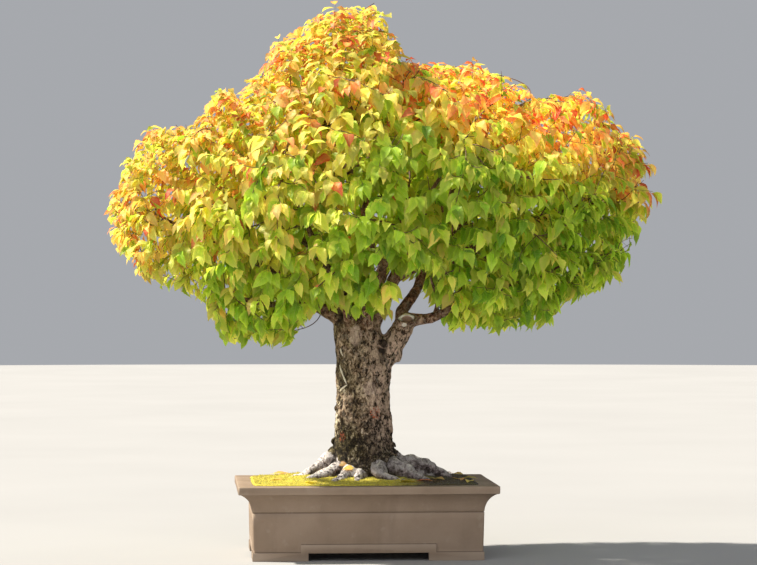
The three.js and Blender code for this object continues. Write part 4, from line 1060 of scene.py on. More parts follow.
class Network:
    """The wood of the crown: limbs, branches that carry the sprays, and every twig with its spray."""

    def __init__(self):
        coarse = [np.array(limb, float) for limb in LIMBS]
        self.limbs = [smooth_rod(limb, 5) for limb in LIMBS]
        self.branches = []
        self.twigs = []
        ends = [limb[-1, :3] for limb in coarse]
        starts = np.array(spread(SPRAYS, SPRAY_SHARE, 1, ends))
        tips = np.array(spread(TIPS, TIP_SHARE, 2, SHOOTS + corner_tips()))
        outward = unit(starts - CROWN_MIDDLE)
        owner = [int(np.argmin(turn_cost(tip - starts, outward, 0.4))) for tip in tips]
        kept = [i for i in range(len(starts)) if i in owner]
        self.starts = starts[kept]
        self.ahead = [None] * len(kept)
        self.grow_branches(coarse, ends)
        for number, spray in enumerate(kept):
            own = [i for i in range(len(tips)) if owner[i] == spray]
            self.grow_main_twigs(number, own, tips)
        self.grow_further_twigs()

    def grow_branches(self, limbs, ends):
        places = [row for limb in limbs for row in fork_places(limb, 0.35)]
        for end, limb in zip(ends, limbs):
            for number, start in enumerate(self.starts):
                if np.allclose(start, end):
                    self.ahead[number] = end_direction(limb)
        others = [n for n, ahead in enumerate(self.ahead) if ahead is None]
        first = np.array(places)
        others.sort(key=lambda n: np.linalg.norm(first[:, :3] - self.starts[n], axis=1).min())
        for number in others:
            rows = np.array(places)
            start = self.starts[number]
            row = rows[np.argmin(turn_cost(start - rows[:, :3], rows[:, 3:6], 0.6))]
            at, direction, radius = row[:3], row[3:6], row[6]
            length = np.linalg.norm(start - at)
            towards = at + 0.35 * length * direction + 0.08 * length * UP
            thickness = min(0.8 * radius, BRANCH_END + BRANCH_TAPER * length)
            branch = bend_rod(at, towards, start, thickness, BRANCH_END, 3 if length > 150 else 2)
            self.ahead[number] = end_direction(branch)
            places += fork_places(branch, 0.3)
            shown = bend_rod(at, towards, start, thickness * 1.15, TWIG_START, 8)
            self.branches.append(smooth_rod(shown, 6))

    def grow_main_twigs(self, number, own, tips):
        """The twigs of one spray. The one that runs on straightest carries the others."""
        start, ahead = self.starts[number], self.ahead[number]
        own.sort(key=lambda i: -(unit(tips[i] - start) @ ahead))
        main = None
        for index in own:
            tip = tips[index]
            if main is None:
                length = np.linalg.norm(tip - start)
                towards = start + 0.4 * length * ahead + 0.05 * length * UP
                main = bend_rod(start - 3 * ahead, towards, tip, TWIG_START, TWIG_END, 12)
                self.twigs.append((number, index, main))
                continue
            back = (0.4 + 0.35 * draw(7, index)) * rod_length(main)
            at, direction, radius = place_back(main, back)
            way = unit(unit(tip - start) + direction)
            length = np.linalg.norm(tip - at)
            towards = at + 0.4 * length * way + 0.05 * length * UP
            self.twigs.append((number, index, bend_rod(at, towards, tip, min(1.8, 0.8 * radius), 0.8, 10)))

    def grow_further_twigs(self):
        """Fills the crown with finer twigs, each from the best place on the wood so far."""
        rows, owners = [], []
        for number, _, rod in self.twigs:
            new = fork_places(rod, 0.15)
            rows += new
            owners += [number] * len(new)
        outward = unit(self.starts - CROWN_MIDDLE)
        for rod in self.branches + [limb[::4] for limb in self.limbs]:
            for row in fork_places(rod, 0.4):
                rows.append(row)
                owners.append(int(np.argmin(turn_cost(np.array(row[:3]) - self.starts, outward, 0.2))))
        self.rows, self.owners, self.next_index = rows, owners, FINER
        for key, (count, share) in enumerate(SHELLS):
            self.grow_layer(spread(count, share, 20 + key, barred=no_leaf))
        self.grow_layer(rim_tips())

    def grow_layer(self, tips):
        table = np.array(self.rows)
        new_rows, new_owners = [], []
        for tip in sorted(tips, key=lambda tip: np.linalg.norm(table[:, :3] - tip, axis=1).min()):
            chosen = int(np.argmin(turn_cost(tip - table[:, :3], table[:, 3:6], 0.8)))
            rod = self.further_twig(table[chosen], tip)
            if past_outline(rod[:, :3]).max() < TWIG_PAST:
                self.twigs.append((self.owners[chosen], self.next_index, rod))
                new = fork_places(rod, 0.25)
                new_rows += new
                new_owners += [self.owners[chosen]] * len(new)
            self.next_index += 1
        self.rows += new_rows
        self.owners += new_owners

    def further_twig(self, place, tip):
        at, direction, radius = place[:3], place[3:6], place[6]
        length = np.linalg.norm(tip - at)
        erect = 0.5 + 1.7 * smooth(*ERECT_HEIGHTS, tip[2])
        leaving = at + 0.45 * length * direction
        arriving = tip - 0.45 * length * unit(unit(tip - CROWN_MIDDLE) + erect * UP)
        towards = (leaving + arriving) / 2
        thickness = min(0.75 * radius, 1.0 + 0.008 * length)
        return bend_rod(at, towards, tip, thickness, min(0.7, thickness), max(4, round(length / 14)))


def trimmed(rod, bare, starts):
    """A twig without the part of its bare end from which no other twig starts."""
    step = rod_length(rod) / (len(rod) - 1)
    last = len(rod) - 1
    while last > 1 and (len(rod) - last) * step < bare and starts.find(rod[last, :3])[2] > step:
        last -= 1
    return rod[: last + 1]


def place_back(rod, distance):
    """Point, direction and radius a distance back from a rod's end."""
    lengths = np.linalg.norm(np.diff(rod[:, :3], axis=0), axis=1)
    run = np.concatenate([[0], np.cumsum(lengths)])
    target = max(run[-1] - distance, 0)
    i = min(int(np.searchsorted(run, target, side="right")) - 1, len(lengths) - 1)
    share = (target - run[i]) / lengths[i]
    row = rod[i] + share * (rod[i + 1] - rod[i])
    return row[:3], unit(rod[i + 1, :3] - rod[i, :3]), row[3]


# Leaves


def leaf_shape(variant):
    """A toothed blade on its stalk: points with y along it from 0 to 1 and x from -1 to 1, faces, u and v."""
    teeth_count = TEETH[variant // LEAF_SHAPES]
    fold = 0.10 + 0.34 * draw(41, variant)
    arch = 0.02 + 0.12 * draw(42, variant)
    hook = 0.12 * draw(43, variant)
    twist = 0.9 * (draw(44, variant) - 0.5)
    wave = 0.10 * draw(45, variant)
    phase = 6.3 * draw(46, variant)
    skew = 0.12 * (draw(47, variant) - 0.5)

    def width(t):
        return np.sin(np.pi * t**0.72) ** 0.8 * (1.03 - 0.42 * t**3)

    def place(x, t):
        rise = arch * 4 * t * (1 - t) - hook * t**3
        tall = rise + 0.28 * fold * abs(x) + wave * abs(x) * math.sin(9 * t + phase + 1.5 * np.sign(x))
        turn = twist * t
        sideways = x * math.cos(turn) + skew * math.sin(np.pi * t)
        return (sideways, PETIOLE + (1 - PETIOLE) * t, tall + 0.28 * x * math.sin(turn)), (0.5 + 0.47 * x, t)

    rows = []
    ribs = []
    for i in range(teeth_count + 1):
        ribs.append(len(rows))
        rows.append(place(0, i / teeth_count))
    faces = []
    for side in (-1, 1):
        notches = [ribs[0]]
        teeth = []
        for i in range(teeth_count):
            t = (i + 0.78) / teeth_count
            teeth.append(len(rows))
            rows.append(place(side * (1.03 * width(t) + 0.02), t))
            if i + 1 < teeth_count:
                notches.append(len(rows))
                rows.append(place(side * 0.94 * width((i + 1) / teeth_count), (i + 1) / teeth_count))
        notches.append(ribs[-1])
        for i in range(teeth_count):
            corners = [[ribs[i], teeth[i], ribs[i + 1]]]
            if i:
                corners.append([ribs[i], notches[i], teeth[i]])
            if i + 1 < teeth_count:
                corners.append([ribs[i + 1], teeth[i], notches[i + 1]])
            faces += [face[::side] for face in corners]
    first = len(rows)
    for y in (0.0, PETIOLE + 0.02):
        for x, z in ((-0.045, -0.012), (0.045, -0.012), (0.0, 0.012)):
            rows.append(((x, y, z), (0.5, 0.0)))
    for s in range(3):
        a, b = first + s, first + (s + 1) % 3
        faces.append([a, b, b + 3, a + 3])
    points = np.array([place for place, _ in rows], float)
    u, v = np.array([uv for _, uv in rows], float).T
    return points, faces, u, v


def depth_behind(points, towards):
    """How far points lie behind the crown's outline, seen from a direction in the front view."""
    return outline_distance(points[:, [0, 2]], towards)


def past_outline(points):
    """How far points lie outside the crown's outline, seen from the front and from the crown's middle."""
    middle = CROWN_MIDDLE[[0, 2]]
    offset = points[:, [0, 2]] - middle
    far = np.linalg.norm(offset, axis=1)
    return far - outline_distance(middle, offset / far[:, None])


def in_chink(points):
    inside = np.zeros(len(points), bool)
    for end, width in CHINKS:
        offset = points - np.array(end)
        inside |= np.linalg.norm(np.cross(offset, unit(SUN)), axis=1) < width
    return inside


def leaf_size(at):
    return SUNNY_LEAF + (1 - SUNNY_LEAF) * smooth(*SUNNY_DEPTHS, depth_behind(at[None, :], SUNWARD))[0]


class Leaves:
    """Where each leaf grows, how it hangs, and its colour."""

    def __init__(self, network):
        rows = []
        for number, index, rod in network.twigs:
            length = rod_length(rod)
            leafy = LEAFY_SHARES[index >= FINER] * length
            k, back = 0, 0.0
            while back < leafy:
                at, ahead, _ = place_back(rod, back)
                size = leaf_size(at)
                rows.append([*at, *ahead, number, index, k, size, back])
                back += LEAF_STEP * size * (0.75 + 0.5 * draw(50, index, k))
                k += 1
        table = np.array(rows)
        may_start = LEAF_PAST + np.where(table[:, 7] < FINER, SHOOT_LEAF_PAST, 0)
        table = table[~no_leaf(table[:, :3]) & (past_outline(table[:, :3]) < may_start)]
        self.at, self.ahead, self.size, self.back = table[:, :3], table[:, 3:6], table[:, 9], table[:, 10]
        self.spray, self.index, self.k = (table[:, i].astype(int) for i in (6, 7, 8))
        self.hang()
        tips = self.at + self.along * self.length[:, None]
        past = LEAF_PAST + np.where(self.index < FINER, SHOOT_LEAF_PAST, LEAF_TIP_PAST)
        past = past + RAGGED * rough(self.at, RAGGED_SIZE, 2, 31)
        self.there = (past_outline(tips) < past) & ~in_chink((self.at + tips) / 2)
        self.colour()

    def hang(self):
        index, k = self.index, self.k
        out = unit(self.at - CROWN_MIDDLE)
        # Leaves stand left and right of a twig in turn, and its last one runs on almost in line with it
        side = np.where((k + index) % 2, 1.0, -1.0)
        sideways = unit(np.cross(self.ahead, UP)) * np.where(k > 0, side, 0.25 * side)[:, None]
        # They droop, more so in the shade
        shade = (self.size - SUNNY_LEAF) / (1 - SUNNY_LEAF)
        droop = (0.8 + 1.1 * draw(11, index, k)) * (0.66 + 0.34 * shade)
        along = 0.75 * sideways + self.ahead * np.where(k > 0, 0.45, 0.9)[:, None] + 0.2 * out
        self.along = unit(along - UP * droop[:, None])
        turned = rows_of(*(draw(key, index, k) - 0.5 for key in (12, 13, 14)))
        facing = 0.8 * out + 0.6 * UP + 1.1 * turned
        self.level = unit(facing - np.sum(facing * self.along, axis=1, keepdims=True) * self.along)
        self.across = np.cross(self.along, self.level)
        size = self.size * (0.74 + 0.42 * draw(15, index, k))
        size = np.where(k < 2, size * 0.86, size)
        size = np.where(draw(18, index, k) < LARGE_SHARE * (1 - shade), size * LARGE, size)
        self.length = LEAF_LENGTH * size
        self.width = LEAF_WIDTH * size * (0.9 + 0.24 * draw(16, index, k))
        self.variant = (draw(17, index, k) * LEAF_SHAPES).astype(int) + LEAF_SHAPES * (shade > 0.4)

    def colour(self):
        index, k = self.index, self.k
        front = self.at[:, [0, 2]]
        depth = np.minimum(depth_behind(self.at, SUNWARD), SKY_SHARE * depth_behind(self.at, (0, 1)))
        pairs = FADE_STARTS, FADE_ENDS, RIPE_OUTSIDE, RIPE_INSIDE, MIXED, VIVID
        start, end, outside, inside, mixed, vivid = (np.interp(front[:, 0], FADE_X, pair) for pair in pairs)
        twig = draw(60, index) - 0.5
        own = draw(61, index, k) - 0.5
        mixed = mixed * smooth(200, 40, depth)
        # Leaves ripen from the sunny side inwards, and twigs and leaves differ from their neighbours
        ripe = outside + (inside - outside) * smooth(start, end, depth)
        ripe += 0.20 * twig + 1.6 * own**3 + mixed * own - LATE * (draw(64, index, k) < LATE_SHARE)
        inner = 0.022 * smooth(120, -40, self.at[:, 0]) * smooth(560, 640, self.at[:, 2])
        vivid = draw(62, index, k) < inner + vivid * smooth(250, 0, depth)
        self.ripe = np.clip(np.where(vivid, 0.88 + 0.1 * own, ripe), 0.02, 0.97)
        # Painted sunlight makes the leaves at the top right paler
        sunlit_top_right = smooth(40, 200, front[:, 0]) * smooth(560, 420, front[:, 0]) * smooth(300, 120, depth)
        self.tone = draw(63, index, k) + TOP_RIGHT_SUNLIGHT * sunlit_top_right

    def bare_end(self, index):
        """How far from its tip a twig carries no leaf."""
        backs = self.back[self.there & (self.index == index)]
        return backs.min() if len(backs) else np.inf

    def thin_places(self):
        """Tips for more twigs, where the background would show through the crown."""
        at, along = self.at[self.there], (self.along * self.length[:, None])[self.there]
        aside = (self.across * self.width[:, None])[self.there] * 0.45
        blades = rows_of(at, at + 0.5 * along + aside, at + along, at + 0.5 * along - aside)
        leafage = Shape((blades.reshape(-1, 3), np.arange(4 * len(at)).reshape(-1, 4).tolist())).tree()
        low, high = CROWN_OUTLINE.min(axis=0), CROWN_OUTLINE.max(axis=0)
        x, z = np.meshgrid(np.arange(low[0], high[0], THIN_STEP), np.arange(low[1], high[1], THIN_STEP))
        places = rows_of(x.ravel(), 0 * x.ravel(), z.ravel())
        places = places[past_outline(places) < -THIN_INSIDE]
        ways = unit(places - CAMERA_PLACE)
        depths = RIM_HALF_DEPTH * (2 * draw(27, np.arange(len(places))) - 1)
        tips = []
        for place, way, depth in zip(places, ways, depths):
            if leafage.ray_cast(CAMERA_PLACE.tolist(), way.tolist())[0]:
                continue
            tip = place + way * depth + THIN_RISE * UP
            near = any(np.hypot(tip[0] - other[0], tip[2] - other[2]) < THIN_APART for other in tips)
            if not (near or no_leaf(tip[None])[0] or no_spray(tip[None])[0]):
                tips.append(tip)
        return tips

    def add_to(self, shape, spray, shapes):
        """Adds the leaves of one spray, a shape at a time."""
        for variant, (blade, faces, u, v) in enumerate(shapes):
            own = np.flatnonzero(self.there & (self.spray == spray) & (self.variant == variant))
            if not len(own):
                continue
            x = blade[None, :, :1] * (self.width[own] / 2)[:, None, None]
            y = blade[None, :, 1:2] * self.length[own][:, None, None]
            z = blade[None, :, 2:] * self.length[own][:, None, None]
            points = self.at[own][:, None, :] + x * self.across[own][:, None, :]
            points = points + y * self.along[own][:, None, :] + z * self.level[own][:, None, :]
            size = len(blade)
            shape.add(
                points.reshape(-1, 3), repeated(faces, size, len(own)),
                u=np.tile(u, len(own)), v=np.tile(v, len(own)),
                ripe=np.repeat(self.ripe[own], size), tone=np.repeat(self.tone[own], size),
            )


# Ground


def ground_height(x, y):
    fall = [np.maximum(0, 1 - (value / half) ** 4) for value, half in zip((x, y), SOIL_HALF)]
    return SOIL_EDGE + SOIL_RISE * fall[0] * fall[1]


def grid_over(half_x, half_y, counts):
    """x and y of a grid over a rectangle about the middle."""
    return np.meshgrid(np.linspace(-half_x, half_x, counts[0]), np.linspace(-half_y, half_y, counts[1]))


def flat_points(x, y):
    return rows_of(x.ravel(), y.ravel(), np.zeros(x.size))


def bare_soil(x, y):
    """How bare of moss the ground is, from 0 to 1: here and there on the right."""
    p = flat_points(x, y)
    patch = rough(p, 55, 3, 21).reshape(x.shape) + 0.9 * smooth(-40, 230, x)
    inside = smooth(SOIL_HALF[0] - 4, SOIL_HALF[0] - 16, np.abs(x))
    inside = inside * smooth(SOIL_HALF[1] - 4, SOIL_HALF[1] - 16, np.abs(y))
    return smooth(0.95, 1.2, patch) * inside


def moss_height(x, y, inward):
    p = flat_points(x, y)
    cushions = 2.6 * rough(p, 34, 3, 22) + 0.9 * rough(p, 7, 2, 23) + 0.5 * bumps(p, 3.4, 24)
    bed = np.maximum(ground_height(x, y) + MOSS_THICKNESS, POT_HEIGHT + 4) + cushions.reshape(x.shape)
    top = MOSS_EDGE_HEIGHT + (bed - MOSS_EDGE_HEIGHT) * inward
    return top - (MOSS_THICKNESS + 3) * bare_soil(x, y)


def moss_grid(u, v):
    """Places on the moss for u and v from -1 to 1: its edge is uneven, and reaches further on the left."""
    edge_x = MOSS_HALF[0] + MOSS_WAVER * bumps(flat_points(0 * v + 5, 500 * v), 37, 25).reshape(v.shape)
    edge_x = edge_x + np.where(u < 0, 6, -1)
    edge_y = MOSS_HALF[1] + MOSS_WAVER * bumps(flat_points(500 * u, 0 * u + 9), 37, 26).reshape(u.shape)
    x = u * edge_x * (1 - 0.035 * np.abs(v) ** 12)
    y = v * edge_y * (1 - 0.05 * np.abs(u) ** 12)
    inward = (1 - np.abs(u) ** 22) * (1 - np.abs(v) ** 16)
    return x, y, inward**0.6


def block_under(x, y, z, shrink, floor, peak=None):
    """A block under a grid of points. Its walls shrink towards its floor, which may rise to a peak."""
    rows, columns = x.shape
    top = np.stack([x, y, z], axis=2).reshape(-1, 3)
    corners = [j * columns + i for j in range(rows - 1) for i in range(columns - 1)]
    faces = [[a, a + 1, a + columns + 1, a + columns] for a in corners]
    last = (rows - 1) * columns
    rim = [*range(columns - 1), *range(columns - 1, last, columns)]
    rim += [*range(last + columns - 1, last, -1), *range(last, 0, -columns)]
    under = top[rim] * (*shrink, 0) + (0, 0, floor)
    ring = [len(top) + i for i in range(len(rim))]
    for a, b, c, d in zip(ring, ring[1:] + ring[:1], rim[1:] + rim[:1], rim):
        faces.append([a, b, c, d])
        if peak:
            faces.append([b, a, len(top) + len(rim)])
    if peak:
        return np.vstack([top, under, [(0, 0, peak)]]), faces
    return np.vstack([top, under]), faces + [ring[::-1]]


def moss_shape():
    x, y, inward = moss_grid(*grid_over(1, 1, MOSS_GRID))
    shape = Shape(block_under(x, y, moss_height(x, y, inward), (1, 1), POT_HEIGHT + 0.2, POT_HEIGHT - 5))
    add_tufts(shape)
    return shape


def add_tufts(shape):
    """Small pointed shoots that stand out of the moss."""
    n = np.arange(TUFTS)
    x, y, inward = moss_grid(1.96 * draw(70, n) - 0.98, 1.96 * draw(71, n) - 0.98)
    kept = (bare_soil(x, y) < 0.3) & (inward > 0.5)
    n, x, y, inward = n[kept], x[kept], y[kept], inward[kept]
    foot = rows_of(x, y, moss_height(x, y, inward) - 0.6)
    lean = rows_of(draw(72, n) - 0.5, draw(73, n) - 0.5, 1.1 + draw(74, n))
    tip = foot + unit(lean) * (2.2 + 2.4 * draw(75, n))[:, None]
    width = 0.7 + 0.6 * draw(77, n)
    corners = []
    for third in range(3):
        angle = 2 * np.pi * draw(76, n) + third * 2 * np.pi / 3
        corners.append(foot + rows_of(width * np.cos(angle), width * np.sin(angle), 0 * angle))
    points = rows_of(*corners, tip).reshape(-1, 3)
    shape.add(points, [[4 * i + s, 4 * i + (s + 1) % 3, 4 * i + 3] for i in range(len(n)) for s in range(3)])


def soil_shape():
    half_x, half_y = (half - SOIL_CLEAR for half in SOIL_HALF)
    x, y = grid_over(half_x, half_y, SOIL_GRID)
    p = flat_points(x, y)
    crumbs = 0.9 * rough(p, 6, 2, 31) + 1.5 * bumps(p, 22, 32)
    heights = ground_height(x, y) + crumbs.reshape(x.shape) * smooth(0, 25, half_x - np.abs(x))
    inset = (WALL_INSET_FLOOR - WALL_INSET_TOP) * 1.1
    shape = Shape(block_under(x, y, heights, (1 - inset / half_x, 1 - inset / half_y), FLOOR_TOP + 0.3))
    add_grains(shape)
    return shape


def add_grains(shape):
    """Loose grains of soil where no moss covers them."""
    n = np.arange(GRAINS)
    x, y = ((2 * draw(80 + i, n) - 1) * half for i, half in enumerate(GRAIN_HALF))
    kept = bare_soil(x, y) > 0.25
    n, x, y = n[kept], x[kept], y[kept]
    ball = bmesh.new()
    bmesh.ops.create_icosphere(ball, subdivisions=1, radius=1)
    corners, faces = taken_apart(ball)
    size = (1.1 + 1.7 * draw(82, n) ** 2)[:, None, None]
    foot = rows_of(x, y, ground_height(x, y) + 1.2)
    points = (foot[:, None, :] + corners[None] * size * (1, 1, 0.8)).reshape(-1, 3)
    points = points + 0.5 * rows_of(*(bumps(points, 2.2, seed) for seed in (83, 84, 85)))
    shape.add(points, repeated(faces, len(corners), len(n)))


# Pot


def rounded_ring(inset, z, radius):
    """Points round the pot, a given inset in from the lip, with round corners."""
    hx, hy = LIP_HALF[0] - inset, LIP_HALF[1] - inset
    points = []
    for quarter, (sx, sy) in enumerate(((1, -1), (1, 1), (-1, 1), (-1, -1))):
        for part in range(6):
            angle = math.radians(-90 + 90 * quarter + 18 * part)
            points.append((sx * (hx - radius) + radius * math.cos(angle),
                           sy * (hy - radius) + radius * math.sin(angle), z))
        straight = (2 * hy, 2 * hx)[quarter % 2] - 2 * radius
        count = round(2 * LIP_HALF[1 - quarter % 2] / WALL_STEP)
        a = np.array(points[-1])
        way = np.array([(0, 1, 0), (-1, 0, 0), (0, -1, 0), (1, 0, 0)][quarter], float)
        points += [tuple(a + way * straight * i / count) for i in range(1, count)]
    return points


def wall_profile():
    """Inset from the lip and height, from under the floor, up the outside, over the lip and down inside."""
    rows = [(BODY_INSET + BODY_TAPER + 1.2, FLOOR_BOTTOM), (BODY_INSET + BODY_TAPER, FLOOR_BOTTOM + 1.2)]
    for share in np.linspace(0.1, 1, 6):
        top = SHOULDER - 2 * GROOVE
        rows.append((BODY_INSET + BODY_TAPER * (1 - share), FLOOR_BOTTOM + share * (top - FLOOR_BOTTOM)))
    rows += [(BODY_INSET + 0.9 * GROOVE, SHOULDER - 1.6 * GROOVE), (BODY_INSET + GROOVE, SHOULDER - GROOVE)]
    rows += [(BODY_INSET + 0.9 * GROOVE, SHOULDER - 0.4 * GROOVE), (BODY_INSET, SHOULDER)]
    a, b, c = (BODY_INSET, SHOULDER), (BODY_INSET - 2.4, SHOULDER + 26.5), (5, POT_HEIGHT - LIP_BAND - 1)
    for t in np.linspace(0.1, 1, 10):
        rows.append(tuple((1 - t) ** 2 * np.array(a) + 2 * t * (1 - t) * np.array(b) + t * t * np.array(c)))
    base = POT_HEIGHT - LIP_BAND
    rows += [(2.2, base - 0.8), (0.7, base), (0.1, base + 1.2), (0, base + 7)]
    rows += [(0, POT_HEIGHT - 1.8), (0.5, POT_HEIGHT - 0.6), (1.7, POT_HEIGHT), (14, POT_HEIGHT + 0.2)]
    rows += [(28, POT_HEIGHT + 0.1), (WALL_INSET_TOP - 1.8, POT_HEIGHT), (WALL_INSET_TOP, POT_HEIGHT - 1.8)]
    rows += [(WALL_INSET_FLOOR - 2, FLOOR_TOP + 50), (WALL_INSET_FLOOR, FLOOR_TOP)]
    return rows


def rounded_block(low, high):
    """A block with softened edges, as points and faces."""
    block = bmesh.new()
    bmesh.ops.create_cube(block, size=1)
    low, high = np.array(low, float), np.array(high, float)
    for vertex in block.verts:
        vertex.co = Vector((low + high) / 2 + np.array(vertex.co) * (high - low))
    bmesh.ops.bevel(block, geom=block.edges[:], offset=FOOT_EDGE, segments=2, profile=0.5, affect="EDGES")
    return taken_apart(block)


def foot_blocks():
    """Four L-shaped feet, a little in from the band in front of them."""
    hx, hy = LIP_HALF[0] - FOOT_INSET, LIP_HALF[1] - FOOT_INSET
    open_x, open_y = FOOT_OPENING_HALF
    inset = 1.5
    blocks = []
    for sx in (-1, 1):
        for sy in (-1, 1):
            for corner in ((open_x + 0.4, hy - FOOT_THICKNESS), (hx - FOOT_THICKNESS, open_y + 0.4)):
                xs = sorted((sx * corner[0], sx * (hx - inset)))
                ys = sorted((sy * corner[1], sy * (hy - inset)))
                blocks.append(rounded_block((xs[0], ys[0], 0), (xs[1], ys[1], BAND_TOP - 0.6)))
    return blocks


def stepped_band(half_length, opening, apron):
    """The band of one side: it stands on both feet and rises to the apron over the gap between them."""
    outline = [(opening, 0), (half_length, 0), (half_length, BAND_TOP), (apron, BAND_TOP), (apron, APRON_TOP)]
    outline += [(-x, z) for x, z in reversed(outline)]
    outline += [(-opening, FLOOR_BOTTOM), (opening, FLOOR_BOTTOM)]
    band = bmesh.new()
    front = [band.verts.new((x, 0, z)) for x, z in outline]
    bmesh.ops.extrude_face_region(band, geom=[band.faces.new(front)])
    for vertex in front:
        vertex.co.y = BAND_DEPTH
    bmesh.ops.recalc_face_normals(band, faces=band.faces[:])
    rim = [edge for edge in band.edges if all(abs(vertex.co.y) < 1e-6 for vertex in edge.verts)]
    bmesh.ops.bevel(band, geom=rim, offset=BAND_EDGE, segments=2, profile=0.5, affect="EDGES")
    return taken_apart(band)


def stepped_bands():
    halves = LIP_HALF[0] - FOOT_INSET, LIP_HALF[1] - FOOT_INSET
    bands = []
    for quarter, (c, s) in enumerate(((1, 0), (0, 1), (-1, 0), (0, -1))):
        turned = quarter % 2
        half_length = halves[turned] - 0.5 * turned
        points, faces = stepped_band(half_length, FOOT_OPENING_HALF[turned], APRON_HALF[turned])
        x, y, z = (points - (0, halves[1 - turned], 0)).T
        bands.append((rows_of(x * c - y * s, x * s + y * c, z), faces))
    return bands


def pot_shape():
    rings = [rounded_ring(inset, z, CORNER if z < POT_HEIGHT - 2 or inset < 20 else INNER_CORNER)
             for inset, z in wall_profile()]
    wall = Shape((np.array(rings).reshape(-1, 3), ring_faces(len(rings), len(rings[0]))))
    feet = Shape(*foot_blocks(), *stepped_bands())
    rods = [np.array([(x, 0, z, DRAIN_RADIUS) for z in DRAIN_ENDS], float) for x in (-DRAIN_X, DRAIN_X)]
    drains = Shape(*(tube(rod, 40) for rod in rods))
    mesh = draft(wall)
    for other, operation in ((feet, "UNION"), (drains, "DIFFERENCE")):
        tool = linked("tool", draft(other))
        settings = {"object": tool, "operation": operation, "solver": "EXACT", "use_self": True}
        points, mesh = with_modifier(mesh, "BOOLEAN", **settings)
        bpy.data.objects.remove(tool)
    # The walls are a little uneven, but the pot stands flat
    warp = rows_of(*(rough(points, 170, 2, seed) for seed in (91, 92, 93)))
    points = points + warp * (0.5, 0.5, 0.25) * smooth(0, 40, points[:, 2:])
    return Shape((points, faces_of(mesh)))


# Leaves that have fallen

# x, y of fallen leaves on the moss, and how ripe each is
FALLEN = [
    (150, -96, 0.66), (212, -118, 0.62), (118, -122, 0.9), (196, -60, 0.72), (84, -136, 0.64),
    (172, 34, 0.84), (-118, -128, 0.6), (-188, -64, 0.7), (224, -20, 0.6), (-60, 120, 0.66),
    (40, 128, 0.8), (142, 104, 0.62), (-172, 92, 0.74), (206, 84, 0.68),
]
# x, z of leaves caught on the roots in front
CAUGHT = [(-47, 193, 0.74), (-37, 185, 0.7)]
CAUGHT_SIZE = 0.6
# The leaves' keys count up from these
FALLEN_KEY = 100
CAUGHT_KEY = 200


def fallen_shape(shapes, wood):
    x, y, ripe = np.array(FALLEN, float).T
    z = np.maximum(moss_height(x, y, np.ones(len(x))), ground_height(x, y)) + 1.8
    places = [(np.array(row[:3]), UP, row[3], FALLEN_KEY + n) for n, row in enumerate(zip(x, y, z, ripe))]
    tree = wood.tree()
    for n, (x, z, ripe) in enumerate(CAUGHT):
        hit, normal, _, _ = tree.ray_cast((x, -300, z), (0, 1, 0))
        places.append((np.array(hit) + 1.5 * np.array(normal), np.array(normal), ripe, CAUGHT_KEY + n))
    shape = Shape()
    for at, level, ripe, key in places:
        blade, faces, u, v = shapes[key % LEAF_SHAPES]
        angle = 2 * np.pi * draw(95, key)
        along = np.array([math.cos(angle), math.sin(angle), 0.1])
        along = unit(along - along @ level * level)
        length = LEAF_LENGTH * (0.75 + 0.3 * draw(96, key)) * (CAUGHT_SIZE if key >= CAUGHT_KEY else 1)
        x, y, z = (blade * (0.26 * length, length, 0.5 * length)).T[:, :, None]
        points = at + x * np.cross(along, level) + (y - length / 2) * along + z * level
        shape.add(points, faces, 0, u=u, v=v, ripe=ripe, tone=draw(97, key))
    return shape


# The whole bonsai

leaf, bark, twig = leaf_material(), bark_material(), twig_material()
network = Network()
leaves = Leaves(network)
for _ in range(THIN_ROUNDS):
    network.grow_layer(leaves.thin_places())
    leaves = Leaves(network)
leaf_shapes = [leaf_shape(variant) for variant in range(LEAF_SHAPES * len(TEETH))]

limb_parts = [split_limb(limb) for limb in network.limbs]
limb_rods = [thick for thick, _ in limb_parts] + [callus_ring()]
limb_rods += [smooth_rod(knot, 4) for knot in [STUB] + KNOTS]
wood = wood_skin(limb_rods, [smooth_rod(root, 4) for root in ROOTS])
add_loose_bark(wood)
for rod in [thin for _, thin in limb_parts] + network.branches:
    wood.add(*tube(rod, 9, 0.16), hollow=0.5)
make_piece("tree", wood, [bark], ["tree_wood"])

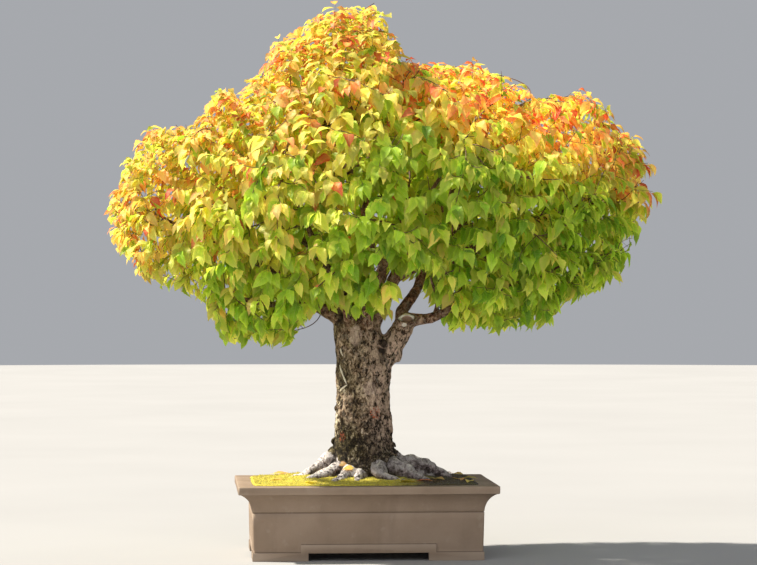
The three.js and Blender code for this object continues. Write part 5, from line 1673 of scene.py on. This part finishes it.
starts = search_tree([rod[0, :3] for _, _, rod in network.twigs])
spray_nodes = sorted(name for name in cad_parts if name.startswith("leafy_spray"))
for number, node in enumerate(spray_nodes):
    spray = Shape()
    leaves.add_to(spray, number, leaf_shapes)
    for owner, index, rod in network.twigs:
        if owner == number:
            shown = trimmed(rod, leaves.bare_end(index), starts)
            spray.add(*tube(shown, 5 if index < FINER else 4), 1)
    make_piece(node.replace("leafy_spray", "foliage"), spray, [leaf, twig], [node])

make_piece("moss_cushion", moss_shape(), [moss_material()], ["moss"])
make_piece("soil_bed", soil_shape(), [soil_material()], ["soil"])
make_piece("clay_pot", pot_shape(), [clay_material()], ["pot"])
make_piece("fallen_leaves", fallen_shape(leaf_shapes, wood), [leaf])
for name in ("drain_screen_left", "drain_screen_right"):
    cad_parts[name].data.materials[0] = screen_material()

# Floor, light and camera

FLOOR_RADIUS = 14  # metres
FLOOR_SIDES = 96

rim = 2 * np.pi * np.arange(FLOOR_SIDES) / FLOOR_SIDES
floor_points = rows_of(FLOOR_RADIUS * np.cos(rim), FLOOR_RADIUS * np.sin(rim), 0 * rim)
floor_data = bare_mesh("floor", floor_points, [list(range(FLOOR_SIDES))])
floor_data.materials.append(floor_material())
linked("floor", floor_data)


def sun(name, strength, softness, towards, colour):
    """A lamp that shines from far away. towards is the direction to it."""
    data = bpy.data.lights.new(name, "SUN")
    data.energy = strength
    data.angle = math.radians(softness)
    data.color = colour
    lamp = linked(name, data)
    lamp.rotation_euler = Vector(towards).to_track_quat("Z", "Y").to_euler()


sun("key light", 8.7, 2.5, SUN, (1.0, 0.93, 0.80))
sun("front fill", 1.2, 70, (-0.3, -0.9, 0.35), (1.0, 0.98, 0.95))

world = bpy.data.worlds.new("studio")
bpy.context.scene.world = world
world.use_nodes = True
background = world.node_tree.nodes["Background"]
background.inputs["Color"].default_value = (0.64, 0.66, 0.70, 1)
background.inputs["Strength"].default_value = 0.6
bpy.context.scene.view_settings.view_transform = "Standard"

camera = bpy.data.cameras.new("camera")
camera.sensor_width = 36
camera.lens = CAMERA_LENS
camera.clip_end = 100
viewer = linked("camera", camera)
viewer.location = (POT_MIDDLE + CAMERA_PLACE) * MM
viewer.rotation_euler = Vector(-CAMERA_BACK).to_track_quat("-Z", "Y").to_euler()
bpy.context.scene.camera = viewer
